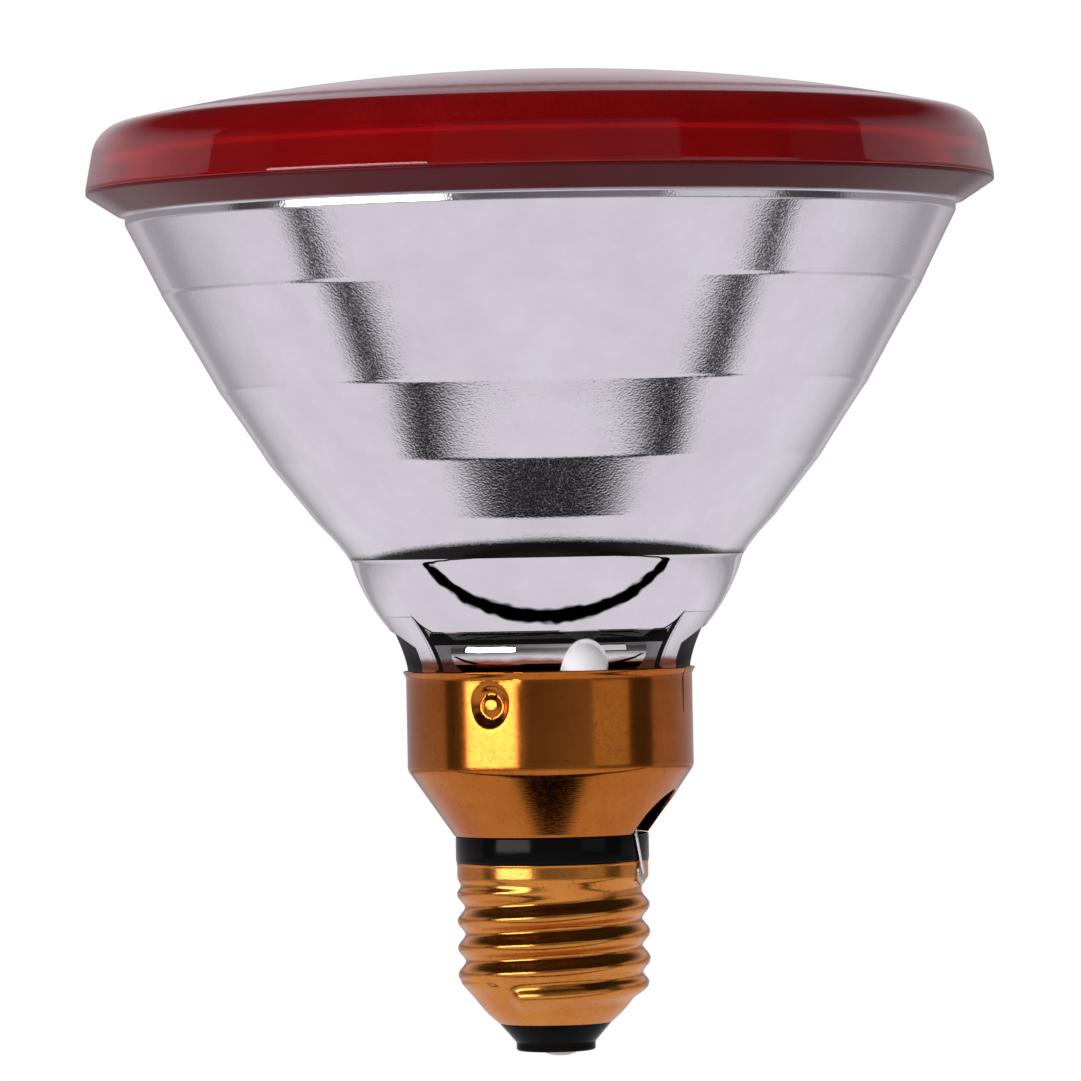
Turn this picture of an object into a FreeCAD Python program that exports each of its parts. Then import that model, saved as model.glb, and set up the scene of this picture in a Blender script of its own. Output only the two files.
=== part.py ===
import FreeCAD, Part
import math
import os
import Sketcher
from FreeCAD import Placement, Rotation, Vector

# A sealed reflector heat lamp: a pressed glass bowl and a red lens on a skirted brass screw cap.
# The origin is under the tip of the centre contact and +Z runs up the axis to the lens.
# An azimuth counts in degrees from the front, -Y, towards the right, +X.

doc = FreeCAD.newDocument("heat_lamp")

# Driving dimensions, millimetres and degrees
SIZES = {
    # Tip of the cap
    "solder_height": 0.75,
    "solder_diameter": 4.8,
    "solder_offset": 0.6,
    "contact_diameter": 8.4,
    "contact_thickness": 0.4,
    "contact_hole": 2.8,
    "tip_lip_diameter": 10.7,
    "tip_lip_height": 1.15,
    "tip_cone_height": 2.6,
    "tip_plug_height": 2.5,
    # Screw shell
    "shell_height": 21.8,
    "shell_wall": 0.35,
    "shell_mouth_diameter": 15.2,
    "shell_shoulder_height": 5.5,
    "shell_shoulder_curve": 15.0,
    "shell_band_height": 3.6,
    "shell_band_taper": 1.3,
    "shell_rim_diameter": 25.8,
    "thread_root_diameter": 24.0,
    "thread_crest_diameter": 26.05,
    "thread_pitch": 3.629,
    "thread_length": 15.46,
    "thread_base_width": 3.0,
    "thread_crest_width": 1.1,
    "thread_start_height": 3.55,
    "thread_start_azimuth": -35.0,
    # Insulator ring
    "ring_overhang": 0.14,
    "ring_height": 3.6,
    "ring_bore": 17.0,
    "ring_spigot_height": 2.2,
    # Skirt and collar
    "skirt_overhang": 0.16,
    "skirt_cone_height": 8.9,
    "skirt_wall": 0.3,
    "collar_diameter": 38.6,
    "collar_height": 13.4,
    "fold_radius": 2.5,
    "rim_flare": 0.5,
    "rim_flare_height": 1.2,
    "lead_slot_width": 10.4,
    "lead_slot_height": 6.0,
    "lead_slot_crown": 4.0,
    "lead_slot_azimuth": 77.0,
    "rim_slit_width": 0.6,
    "rim_slit_depth": 6.0,
    "rim_slit_azimuth": 68.0,
    "dimple_count": 3,
    "dimple_diameter": 5.3,
    "dimple_depth": 0.9,
    "dimple_floor_diameter": 3.8,
    "dimple_button_diameter": 2.8,
    "dimple_button_rise": 0.35,
    "dimple_drop": 4.5,
    "dimple_azimuth": -24.5,
    # Reflector bowl
    "fit_clearance": 0.08,
    "neck_insert": 10.0,
    "neck_wall": 4.2,
    "neck_shoulder": 2.0,
    "neck_shoulder_rise": 4.5,
    "neck_shoulder_height": 1.0,
    "neck_flare_curve": 25.0,
    "heel_diameter": 52.2,
    "heel_thickness": 5.0,
    "heel_floor_diameter": 25.0,
    "heel_rise": 4.6,
    "focal_length": 13.475,
    "vertex_rise": 2.55,
    "mouth_diameter": 112.4,
    "bowl_wall": 3.2,
    "facet_edge_first": 0.163,
    "facet_edge_second": 0.365,
    "facet_edge_third": 0.59,
    "facet_edge_fourth": 0.836,
    "flange_width": 5.0,
    "flange_rise": 3.5,
    "flange_edge": 0.4,
    "flange_fillet": 2.0,
    "seam_width": 5.5,
    "lug_azimuth": 57.0,
    "lug_sweep": 24.0,
    "lug_reach": 1.1,
    "lug_lean": 2.0,
    "lug_rise": 6.2,
    "boss_width": 6.6,
    "boss_rise": 4.4,
    "boss_reach": 1.7,
    "boss_azimuth": 15.0,
    # Front lens
    "lens_edge_height": 8.6,
    "lens_edge_draft": 1.55,
    "lens_dome_rise": 6.75,
    "lens_wall": 4.0,
    "lens_shoulder_curve": 5.0,
    # Filament mount
    "lead_spacing": 16.0,
    "lead_hole_diameter": 3.2,
    "ferrule_diameter": 6.4,
    "ferrule_height": 4.5,
    "ferrule_wall": 0.4,
    "post_diameter": 1.2,
    "post_overrun": 1.5,
    "filament_rise": 12.0,
    "filament_coil_diameter": 2.2,
    "bead_rise": 5.0,
    "bead_width": 2.6,
    "bead_overhang": 1.4,
    "hook_wire_diameter": 0.4,
    "hook_eye_width": 0.6,
    "exhaust_diameter": 4.6,
    "exhaust_bore": 2.4,
    "exhaust_length": 12.0,
    "exhaust_tip_length": 2.6,
    # Lead wires and side solder
    "lead_wire_diameter": 0.45,
    "lead_bend_radius": 3.0,
    "lead_bend_room": 0.45,
    "lead_exit_azimuth": 57.0,
    "side_solder_azimuth": 65.0,
    "side_solder_height": 3.4,
    "side_solder_width": 1.9,
}

# Heights and radii that follow from the driving dimensions
LEVELS = {
    "shell_bottom": "Sizes.solder_height + Sizes.tip_lip_height + Sizes.tip_cone_height",
    "shell_top": "shell_bottom + Sizes.shell_height",
    "ring_top": "shell_top + Sizes.ring_height",
    "fold_level": "ring_top + Sizes.skirt_cone_height",
    "rim_level": "fold_level + Sizes.collar_height",
    "dimple_level": "rim_level - Sizes.dimple_drop",
    "tip_lip_radius": "Sizes.tip_lip_diameter / 2",
    "mouth_edge_radius": "Sizes.shell_mouth_diameter / 2",
    "mouth_bore_radius": "mouth_edge_radius - Sizes.shell_wall",
    "root_radius": "Sizes.thread_root_diameter / 2",
    "crest_radius": "Sizes.thread_crest_diameter / 2",
    "rim_radius": "Sizes.shell_rim_diameter / 2",
    "ring_radius": "rim_radius + Sizes.ring_overhang",
    "skirt_mouth_radius": "ring_radius + Sizes.skirt_overhang",
    "collar_radius": "Sizes.collar_diameter / 2",
    "collar_bore_radius": "collar_radius - Sizes.skirt_wall",
    "skirt_slope": "(collar_radius - skirt_mouth_radius) / Sizes.skirt_cone_height",
    "skirt_lean": "atan(skirt_slope)",
    "skirt_wall_across": "Sizes.skirt_wall / cos(skirt_lean)",
    "fold_setback": "Sizes.fold_radius * tan(skirt_lean / 2)",
    "skirt_bore_radius": "skirt_mouth_radius - skirt_wall_across",
    "fold_bore_level": "ring_top + (collar_bore_radius - skirt_bore_radius) / skirt_slope",
    "dimple_back": "collar_radius - Sizes.dimple_depth - Sizes.skirt_wall",
    "dimple_floor": "dimple_back + Sizes.skirt_wall",
    "dimple_radius": "Sizes.dimple_diameter / 2",
    "dimple_lip_radius": "dimple_radius + Sizes.skirt_wall / 2",
    "dimple_lip": "collar_radius - (Sizes.skirt_wall + dimple_lip_radius ^ 2 / collar_radius / 2) / 2",
    "neck_radius": "collar_bore_radius - Sizes.fit_clearance",
    "neck_insert_radius": "dimple_back - Sizes.fit_clearance",
    "neck_bottom": "rim_level - Sizes.neck_insert",
    "neck_bore_radius": "neck_radius - Sizes.neck_wall",
    "shoulder_radius": "neck_radius + Sizes.neck_shoulder",
    "shoulder_level": "rim_level + Sizes.neck_shoulder_rise",
    "vertex_level": "rim_level + Sizes.vertex_rise",
    "heel_radius": "Sizes.heel_diameter / 2",
    "heel_level": "vertex_level + heel_radius ^ 2 / (4 * Sizes.focal_length)",
    "mouth_radius": "Sizes.mouth_diameter / 2",
    "mouth_level": "vertex_level + mouth_radius ^ 2 / (4 * Sizes.focal_length)",
    "heel_underside": "rim_level + Sizes.heel_rise",
    "heel_floor": "heel_underside + Sizes.heel_thickness",
    "flange_radius": "mouth_radius + Sizes.flange_width",
    "flange_level": "mouth_level + Sizes.flange_rise",
    "seam_level": "flange_level + Sizes.flange_edge",
    "seam_inner_radius": "flange_radius - Sizes.seam_width",
    "lens_shoulder_radius": "flange_radius - Sizes.lens_edge_draft",
    "lens_shoulder_level": "seam_level + Sizes.lens_edge_height",
    "lens_inner_radius": "lens_shoulder_radius - Sizes.seam_width",
    "lens_inner_level": "lens_shoulder_level - Sizes.lens_wall",
    "lens_top": "lens_shoulder_level + Sizes.lens_dome_rise",
    "lens_dome_curve": "(lens_shoulder_radius ^ 2 / Sizes.lens_dome_rise + Sizes.lens_dome_rise) / 2",
    "lens_inner_curve": "(lens_inner_radius ^ 2 / Sizes.lens_dome_rise + Sizes.lens_dome_rise) / 2",
    "lens_edge_lean": "atan(Sizes.lens_edge_draft / Sizes.lens_edge_height)",
    "lens_dome_slope": "asin(lens_shoulder_radius / lens_dome_curve)",
    "lens_setback": "Sizes.lens_shoulder_curve * tan((90 deg - lens_edge_lean - lens_dome_slope) / 2)",
    "lens_dome_edge": "lens_shoulder_radius - lens_setback * cos(lens_dome_slope)",
    "lead_radius": "Sizes.lead_spacing / 2",
    "ferrule_bottom": "heel_underside - Sizes.ferrule_height",
    "post_bottom": "ferrule_bottom + Sizes.ferrule_wall",
    "filament_level": "heel_floor + Sizes.filament_rise",
    "bead_level": "heel_floor + Sizes.bead_rise",
    "contact_top": "Sizes.solder_height + Sizes.contact_thickness",
}


def add_sheet(name, rows, prefix):
    sheet = doc.addObject("Spreadsheet::Sheet", name)
    for row, (alias, content) in enumerate(rows.items(), start=1):
        sheet.set(f"A{row}", alias)
        sheet.set(f"B{row}", f"{prefix}{content}")
        sheet.setAlias(f"B{row}", alias)
    doc.recompute()
    return sheet


add_sheet("Sizes", SIZES, "")
levels = add_sheet("Levels", LEVELS, "=")


def value(expression):
    return float(levels.evalExpression(expression))


def polar(radius, azimuth, height):
    turn = math.radians(azimuth)
    return Vector(radius * math.sin(turn), -radius * math.cos(turn), height)


def add_body(name):
    body = doc.addObject("PartDesign::Body", name)
    body.Label = name
    return body


def origin_feature(body, role):
    return next(f for f in body.Origin.OriginFeatures if f.Role == role)


def add_sketch(body, name, plane="XZ_Plane"):
    sketch = body.newObject("Sketcher::SketchObject", name)
    sketch.AttachmentSupport = [(origin_feature(body, plane), "")]
    sketch.MapMode = "FlatFace"
    return sketch


def add_turned_sketch(body, name, azimuth, offset="0"):
    # An upright sketch that faces out at an azimuth, with its y along +Z, at a distance from the axis
    sketch = add_sketch(body, name)
    sketch.AttachmentOffset = Placement(Vector(), Rotation(Vector(0, 1, 0), 1))
    sketch.setExpression("AttachmentOffset.Rotation.Angle", azimuth)
    sketch.setExpression("AttachmentOffset.Base.x", f"({offset}) * sin({azimuth})")
    sketch.setExpression("AttachmentOffset.Base.z", f"({offset}) * cos({azimuth})")
    return sketch


def add_radial_sketch(body, name, azimuth):
    # An upright sketch through the axis, with its x pointing out at an azimuth and its y along +Z
    return add_turned_sketch(body, name, f"{azimuth} - 90")


def add_level_sketch(body, name, level):
    sketch = add_sketch(body, name, "XY_Plane")
    sketch.setExpression("AttachmentOffset.Base.z", level)
    return sketch


def bind(sketch, constraint, name, expression):
    number = sketch.addConstraint(constraint)
    sketch.renameConstraint(number, name)
    sketch.setExpression(f"Constraints.{name}", expression)


def arc_between(start, end, radius):
    # A positive radius turns left on the way from start to end, a negative one right.
    chord = end - start
    rise = math.sqrt(radius ** 2 - (chord.Length / 2) ** 2)
    left = Vector(-chord.y, chord.x, 0).normalize()
    centre = start + chord * 0.5 + left * math.copysign(rise, radius)
    first, last = (start, end) if radius > 0 else (end, start)
    circle = Part.Circle(centre, Vector(0, 0, 1), abs(radius))
    return Part.ArcOfCircle(circle, circle.parameter(first), circle.parameter(last))


def draw_outline(sketch, corners):
    # Each corner is its x and its y, then the arc radius of the side that follows it, if that is round.
    points = [Vector(value(corner[0]), value(corner[1]), 0) for corner in corners]
    starts = []
    ends = []
    for index, corner in enumerate(corners):
        start, end = points[index], points[(index + 1) % len(points)]
        radius = value(corner[2]) if len(corner) == 3 else 0
        side = arc_between(start, end, radius) if radius else Part.LineSegment(start, end)
        number = sketch.addGeometry(side)
        starts.append((number, 2 if radius < 0 else 1))
        ends.append((number, 1 if radius < 0 else 2))
    for index, corner in enumerate(corners):
        following = (index + 1) % len(corners)
        sketch.addConstraint(Sketcher.Constraint("Coincident", *ends[index], *starts[following]))
        across = Sketcher.Constraint("DistanceX", -1, 1, *starts[index], points[index].x)
        up = Sketcher.Constraint("DistanceY", -1, 1, *starts[index], points[index].y)
        if corner[0] == "0":
            sketch.addConstraint(Sketcher.Constraint("PointOnObject", *starts[index], -2))
        else:
            bind(sketch, across, f"Across{index}", corner[0])
        bind(sketch, up, f"Up{index}", corner[1])
        if len(corner) == 3:
            size = Sketcher.Constraint("Radius", index, abs(value(corner[2])))
            bind(sketch, size, f"Curve{index}", f"abs({corner[2]})")


def draw_circle(sketch, name, across, up, diameter):
    place = Vector(value(across), value(up), 0)
    number = sketch.addGeometry(Part.Circle(place, Vector(0, 0, 1), value(diameter) / 2))
    bind(sketch, Sketcher.Constraint("DistanceX", -1, 1, number, 3, place.x), f"{name}Across", across)
    bind(sketch, Sketcher.Constraint("DistanceY", -1, 1, number, 3, place.y), f"{name}Up", up)
    bind(sketch, Sketcher.Constraint("Diameter", number, value(diameter)), f"{name}Diameter", diameter)


def add_profile_feature(body, kind, name, sketch, axis="V_Axis", sweep="360"):
    feature = body.newObject(kind, name)
    feature.Profile = sketch
    feature.ReferenceAxis = (sketch, [axis])
    feature.Midplane = True
    feature.setExpression("Angle", sweep)
    doc.recompute()
    return feature


def add_turning(body, kind, name, corners):
    sketch = add_sketch(body, f"{name}_profile")
    draw_outline(sketch, corners)
    return add_profile_feature(body, kind, name, sketch)


def add_revolution(body, name, corners):
    return add_turning(body, "PartDesign::Revolution", name, corners)


def add_groove(body, name, corners):
    return add_turning(body, "PartDesign::Groove", name, corners)


def add_radial_turning(body, kind, name, azimuth, level, corners):
    # Turned about a level axis that points out at an azimuth
    sketch = add_radial_sketch(body, f"{name}_profile", azimuth)
    draw_outline(sketch, corners)
    start = Vector(0, value(level), 0)
    axis = sketch.addGeometry(Part.LineSegment(start, start + Vector(1, 0, 0)), True)
    sketch.addConstraint(Sketcher.Constraint("Horizontal", axis))
    sketch.addConstraint(Sketcher.Constraint("PointOnObject", axis, 1, -2))
    bind(sketch, Sketcher.Constraint("DistanceY", -1, 1, axis, 1, start.y), "AxisUp", level)
    return add_profile_feature(body, kind, name, sketch, axis="Axis0")


def add_pocket(body, name, sketch, depth):
    pocket = body.newObject("PartDesign::Pocket", name)
    pocket.Profile = sketch
    pocket.setExpression("Length", depth)
    doc.recompute()
    return pocket


def add_pattern(body, name, features, count):
    pattern = body.newObject("PartDesign::PolarPattern", name)
    pattern.Originals = features
    pattern.Axis = (origin_feature(body, "Z_Axis"), [""])
    pattern.Angle = 360
    pattern.setExpression("Occurrences", count)
    body.Tip = pattern
    doc.recompute()


def add_fillet(body, name, radius, ring_radius, ring_level):
    # Rounds the circular edge with this radius at this level.
    def is_ring(edge):
        if edge.Degenerated or not isinstance(edge.Curve, Part.Circle):
            return False
        miss = Vector(edge.Curve.Radius - value(ring_radius), edge.Curve.Center.z - value(ring_level), 0)
        return miss.Length < 1e-4

    base = body.Tip
    edges = base.Shape.Edges
    fillet = body.newObject("PartDesign::Fillet", name)
    fillet.Base = (base, [f"Edge{n}" for n, edge in enumerate(edges, start=1) if is_ring(edge)])
    fillet.setExpression("Radius", radius)
    doc.recompute()


def add_cylinder(name, diameter, length, place, along=Vector(0, 0, 1)):
    cylinder = doc.addObject("Part::Cylinder", name)
    cylinder.Label = name
    cylinder.Placement = Placement(Vector(), Rotation(Vector(0, 0, 1), along))
    cylinder.setExpression("Radius", f"{diameter} / 2")
    cylinder.setExpression("Height", length)
    for axis, expression in zip("xyz", place):
        cylinder.setExpression(f"Placement.Base.{axis}", expression)
    doc.recompute()
    return cylinder


def add_boolean(kind, name, base, tool):
    feature = doc.addObject(kind, name)
    feature.Label = name
    feature.Base = base
    feature.Tool = tool
    doc.recompute()
    return feature


def rounded_path(points, bend_radius):
    # Straight runs joined by tangent arcs, each no larger than its two runs leave room for.
    room = value("Sizes.lead_bend_room")
    edges = []
    start = points[0]
    for before, corner, after in zip(points, points[1:], points[2:]):
        back = before - corner
        ahead = after - corner
        half_turn = (math.pi - back.getAngle(ahead)) / 2
        setback = min(bend_radius * math.tan(half_turn), room * min(back.Length, ahead.Length))
        radius = setback / math.tan(half_turn)
        back.normalize()
        ahead.normalize()
        first = corner + back * setback
        last = corner + ahead * setback
        inward = (back + ahead).normalize()
        middle = corner + inward * (radius / math.cos(half_turn) - radius)
        edges.append(Part.LineSegment(start, first).toShape())
        edges.append(Part.Arc(first, middle, last).toShape())
        start = last
    edges.append(Part.LineSegment(start, points[-1]).toShape())
    return Part.Wire(edges)


def add_wire(name, points):
    path = rounded_path(points, value("Sizes.lead_bend_radius"))
    radius = value("Sizes.lead_wire_diameter") / 2
    section = Part.Wire(Part.makeCircle(radius, points[0], points[1] - points[0]))
    wire = doc.addObject("Part::Feature", name)
    wire.Label = name
    wire.Shape = path.makePipeShell([section], True, False)
    wire.Placement = Placement()
    return wire


def bowl_point(radius):
    # A point of the bowl's outer paraboloid
    return radius, f"Levels.vertex_level + ({radius}) ^ 2 / (4 * Sizes.focal_length)"


def bowl_inner_point(radius):
    # The point inside that outer one, across the wall and square to it
    slant = f"sqrt(({radius}) ^ 2 + 4 * Sizes.focal_length ^ 2)"
    across = f"({radius}) * (1 - Sizes.bowl_wall / {slant})"
    up = f"{bowl_point(radius)[1]} + 2 * Sizes.bowl_wall * Sizes.focal_length / {slant}"
    return across, up


def make_front_lens():
    # A shallow red dome with a drafted edge, open below, fused to the bowl's flange
    lens = add_body("front_lens")
    dome_edge_level = ("Levels.lens_top - Levels.lens_dome_curve"
                       " + sqrt(Levels.lens_dome_curve ^ 2 - Levels.lens_dome_edge ^ 2)")
    add_revolution(lens, "lens_dome", [
        ("0", "Levels.lens_top", "-Levels.lens_dome_curve"),
        ("Levels.lens_dome_edge", dome_edge_level, "-Sizes.lens_shoulder_curve"),
        ("Levels.lens_shoulder_radius + Levels.lens_setback * sin(Levels.lens_edge_lean)",
         "Levels.lens_shoulder_level - Levels.lens_setback * cos(Levels.lens_edge_lean)"),
        ("Levels.flange_radius", "Levels.seam_level"),
        ("Levels.seam_inner_radius", "Levels.seam_level"),
        ("Levels.lens_inner_radius", "Levels.lens_inner_level", "Levels.lens_inner_curve"),
        ("0", "Levels.lens_top - Sizes.lens_wall"),
    ])
    return lens


def make_reflector_bowl():
    # One pressing: a stepped paraboloid with a flange, a closed heel and a neck for the collar
    bowl = add_body("reflector_bowl")
    span = "(Levels.mouth_radius - Levels.heel_radius)"
    facets = [f"Levels.heel_radius + Sizes.facet_edge_{step} * {span}"
              for step in ("first", "second", "third", "fourth")]
    rings = ["Levels.heel_radius", *facets, "Levels.mouth_radius"]
    add_revolution(bowl, "bowl_pressing", [
        ("Levels.neck_bore_radius", "Levels.neck_bottom"),
        ("Levels.neck_insert_radius", "Levels.neck_bottom"),
        ("Levels.neck_insert_radius", "Levels.rim_level"),
        ("Levels.neck_radius", "Levels.rim_level"),
        ("Levels.neck_radius", "Levels.shoulder_level - Sizes.neck_shoulder_height"),
        ("Levels.shoulder_radius", "Levels.shoulder_level", "Sizes.neck_flare_curve"),
        *[bowl_point(ring) for ring in rings],
        ("Levels.flange_radius", "Levels.flange_level"),
        ("Levels.flange_radius", "Levels.seam_level"),
        ("Levels.seam_inner_radius", "Levels.seam_level"),
        *[bowl_inner_point(ring) for ring in reversed(rings)],
        ("Sizes.heel_floor_diameter / 2", "Levels.heel_floor"),
        ("0", "Levels.heel_floor"),
        ("0", "Levels.heel_underside"),
        ("Levels.neck_bore_radius", "Levels.heel_underside"),
    ])
    add_fillet(bowl, "flange_root", "Sizes.flange_fillet", "Levels.mouth_radius", "Levels.mouth_level")

    holes = add_level_sketch(bowl, "heel_holes", "Levels.heel_floor")
    draw_circle(holes, "Left", "-Levels.lead_radius", "0", "Sizes.lead_hole_diameter")
    draw_circle(holes, "Right", "Levels.lead_radius", "0", "Sizes.lead_hole_diameter")
    draw_circle(holes, "Exhaust", "0", "0", "Sizes.exhaust_diameter + 2 * Sizes.fit_clearance")
    add_pocket(bowl, "heel_bores", holes, "Sizes.heel_thickness")

    # Four lugs stand on the collar's rim and run out into the flare of the neck
    lug = "Sizes.lug_azimuth"
    for number, azimuth in enumerate((lug, f"180 - {lug}", f"180 + {lug}", f"360 - {lug}"), start=1):
        sketch = add_radial_sketch(bowl, f"lug_{number}_profile", azimuth)
        draw_outline(sketch, [
            ("Levels.neck_bore_radius + Sizes.neck_wall / 2", "Levels.rim_level"),
            ("Levels.neck_radius + Sizes.lug_reach", "Levels.rim_level"),
            ("Levels.neck_radius + Sizes.lug_reach + Sizes.lug_lean", "Levels.rim_level + Sizes.lug_rise"),
            ("Levels.neck_bore_radius + Sizes.neck_wall / 2", "Levels.rim_level + Sizes.lug_rise"),
        ])
        add_profile_feature(bowl, "PartDesign::Revolution", f"lug_{number}", sketch,
                            sweep="Sizes.lug_sweep")

    # A half-round boss on the front of the neck and its twin behind
    boss = bowl.newObject("PartDesign::AdditiveEllipsoid", "boss")
    boss.Angle1 = 0
    boss.setExpression("Radius1", "Sizes.boss_rise")
    boss.setExpression("Radius2", "Sizes.boss_width / 2")
    boss.setExpression("Radius3", "Sizes.boss_width / 2")
    reach = "(Levels.neck_radius + Sizes.boss_reach - Sizes.boss_width / 2)"
    boss.setExpression("Placement.Base.x", f"{reach} * sin(Sizes.boss_azimuth)")
    boss.setExpression("Placement.Base.y", f"-{reach} * cos(Sizes.boss_azimuth)")
    boss.setExpression("Placement.Base.z", "Levels.rim_level")
    doc.recompute()
    add_pattern(bowl, "bosses", [boss], "2")
    return bowl


def make_skirt_collar():
    # One thin drawn sheet: a cone below, a collar above with a flared rim
    skirt = add_body("skirt_collar")
    add_revolution(skirt, "skirt_sheet", [
        ("Levels.skirt_mouth_radius", "Levels.ring_top"),
        ("Levels.collar_radius - Levels.fold_setback * sin(Levels.skirt_lean)",
         "Levels.fold_level - Levels.fold_setback * cos(Levels.skirt_lean)", "Sizes.fold_radius"),
        ("Levels.collar_radius", "Levels.fold_level + Levels.fold_setback"),
        ("Levels.collar_radius", "Levels.rim_level - Sizes.rim_flare_height"),
        ("Levels.collar_radius + Sizes.rim_flare", "Levels.rim_level"),
        ("Levels.collar_bore_radius + Sizes.rim_flare", "Levels.rim_level"),
        ("Levels.collar_bore_radius", "Levels.rim_level - Sizes.rim_flare_height"),
        ("Levels.collar_bore_radius", "Levels.fold_bore_level"),
        ("Levels.skirt_bore_radius", "Levels.ring_top"),
    ])

    # The lead slot is open at the skirt's mouth and round at its top.
    slot = add_turned_sketch(skirt, "lead_slot_outline", "Sizes.lead_slot_azimuth", "Levels.collar_radius")
    half_width = "Sizes.lead_slot_width / 2"
    slot_shoulder = "Levels.ring_top + Sizes.lead_slot_height - Sizes.lead_slot_crown"
    slot_curve = f"(({half_width}) ^ 2 / Sizes.lead_slot_crown + Sizes.lead_slot_crown) / 2"
    draw_outline(slot, [
        (f"-{half_width}", "Levels.ring_top"),
        (half_width, "Levels.ring_top"),
        (half_width, slot_shoulder, slot_curve),
        (f"-{half_width}", slot_shoulder),
    ])
    add_pocket(skirt, "lead_slot", slot, "Levels.collar_radius")

    slit = add_turned_sketch(skirt, "rim_slit_outline", "Sizes.rim_slit_azimuth",
                             "Levels.collar_radius + Sizes.rim_flare")
    half_slit = "Sizes.rim_slit_width / 2"
    draw_outline(slit, [
        (f"-{half_slit}", "Levels.rim_level - Sizes.rim_slit_depth"),
        (half_slit, "Levels.rim_level - Sizes.rim_slit_depth"),
        (half_slit, "Levels.rim_level"),
        (f"-{half_slit}", "Levels.rim_level"),
    ])
    add_pocket(skirt, "rim_slit", slit, "Levels.collar_radius")

    # Each dimple is a blunt cone behind the sheet, dished out from the front down to a round button.
    middle = "Levels.dimple_level"
    floor_edge = f"{middle} + Sizes.dimple_floor_diameter / 2"
    button_edge = f"{middle} + Sizes.dimple_button_diameter / 2"
    button_top = "Levels.dimple_floor + Sizes.dimple_button_rise"
    place = ("Sizes.dimple_azimuth", middle)
    back = add_radial_turning(skirt, "PartDesign::Revolution", "dimple_back", *place, [
        ("Levels.dimple_back", middle),
        ("Levels.dimple_back", floor_edge),
        ("Levels.dimple_lip", f"{middle} + Levels.dimple_lip_radius"),
        ("Levels.dimple_lip", middle),
    ])
    add_pattern(skirt, "dimple_backs", [back], "Sizes.dimple_count")
    outside = "Levels.collar_radius + Sizes.skirt_wall"
    taper = "(Levels.dimple_radius - Sizes.dimple_floor_diameter / 2) / Sizes.dimple_depth"
    dish = add_radial_turning(skirt, "PartDesign::Groove", "dimple_dish", *place, [
        (button_top, middle),
        (button_top, button_edge),
        ("Levels.dimple_floor", button_edge),
        ("Levels.dimple_floor", floor_edge),
        (outside, f"{middle} + Levels.dimple_radius + {taper} * Sizes.skirt_wall"),
        (outside, middle),
    ])
    add_pattern(skirt, "dimple_dishes", [dish], "Sizes.dimple_count")
    return skirt


def make_insulator_ring():
    # A black ring with a spigot down into the shell
    ring = add_body("insulator_ring")
    spigot = "Levels.rim_radius - Sizes.shell_wall - Sizes.fit_clearance"
    add_revolution(ring, "ring_moulding", [
        ("Sizes.ring_bore / 2", "Levels.shell_top - Sizes.ring_spigot_height"),
        (spigot, "Levels.shell_top - Sizes.ring_spigot_height"),
        (spigot, "Levels.shell_top"),
        ("Levels.ring_radius", "Levels.shell_top"),
        ("Levels.ring_radius", "Levels.ring_top"),
        ("Sizes.ring_bore / 2", "Levels.ring_top"),
    ])
    return ring


def make_screw_shell():
    # A solid turning gets the rolled thread, its run-out is trimmed, then the shell is hollowed.
    shell = add_body("screw_shell")
    shoulder = "Levels.shell_bottom + Sizes.shell_shoulder_height"
    band = "Levels.shell_top - Sizes.shell_band_height"
    band_top = f"{band} + Sizes.shell_band_taper"
    add_revolution(shell, "shell_blank", [
        ("0", "Levels.shell_bottom"),
        ("Levels.mouth_edge_radius", "Levels.shell_bottom", "Sizes.shell_shoulder_curve"),
        ("Levels.root_radius", shoulder),
        ("Levels.root_radius", band),
        ("Levels.rim_radius", band_top),
        ("Levels.rim_radius", "Levels.shell_top"),
        ("0", "Levels.shell_top"),
    ])

    ridge = add_radial_sketch(shell, "thread_profile", "Sizes.thread_start_azimuth")
    middle = "Levels.shell_bottom + Sizes.thread_start_height"
    foot = "Levels.root_radius - Sizes.shell_wall / 2"
    draw_outline(ridge, [
        (foot, f"{middle} - Sizes.thread_base_width / 2"),
        ("Levels.crest_radius", f"{middle} - Sizes.thread_crest_width / 2"),
        ("Levels.crest_radius", f"{middle} + Sizes.thread_crest_width / 2"),
        (foot, f"{middle} + Sizes.thread_base_width / 2"),
    ])
    thread = shell.newObject("PartDesign::AdditiveHelix", "rolled_thread")
    thread.Profile = ridge
    thread.ReferenceAxis = (ridge, ["V_Axis"])
    thread.Mode = "pitch-height-angle"
    thread.setExpression("Pitch", "Sizes.thread_pitch")
    thread.setExpression("Height", "Sizes.thread_length")
    doc.recompute()

    outside = "Levels.crest_radius + Sizes.thread_pitch"
    add_groove(shell, "thread_runout", [
        ("Levels.mouth_edge_radius + Sizes.shell_wall", "Levels.shell_bottom"),
        ("Levels.crest_radius", f"{shoulder} + Sizes.thread_base_width / 2"),
        (outside, f"{shoulder} + Sizes.thread_base_width / 2"),
        (outside, "Levels.shell_bottom"),
    ])
    add_groove(shell, "shell_bore", [
        ("0", "Levels.shell_bottom"),
        ("Levels.mouth_bore_radius", "Levels.shell_bottom"),
        ("Levels.root_radius - Sizes.shell_wall", shoulder),
        ("Levels.root_radius - Sizes.shell_wall", band),
        ("Levels.rim_radius - Sizes.shell_wall", band_top),
        ("Levels.rim_radius - Sizes.shell_wall", "Levels.shell_top"),
        ("0", "Levels.shell_top"),
    ])
    return shell


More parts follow.
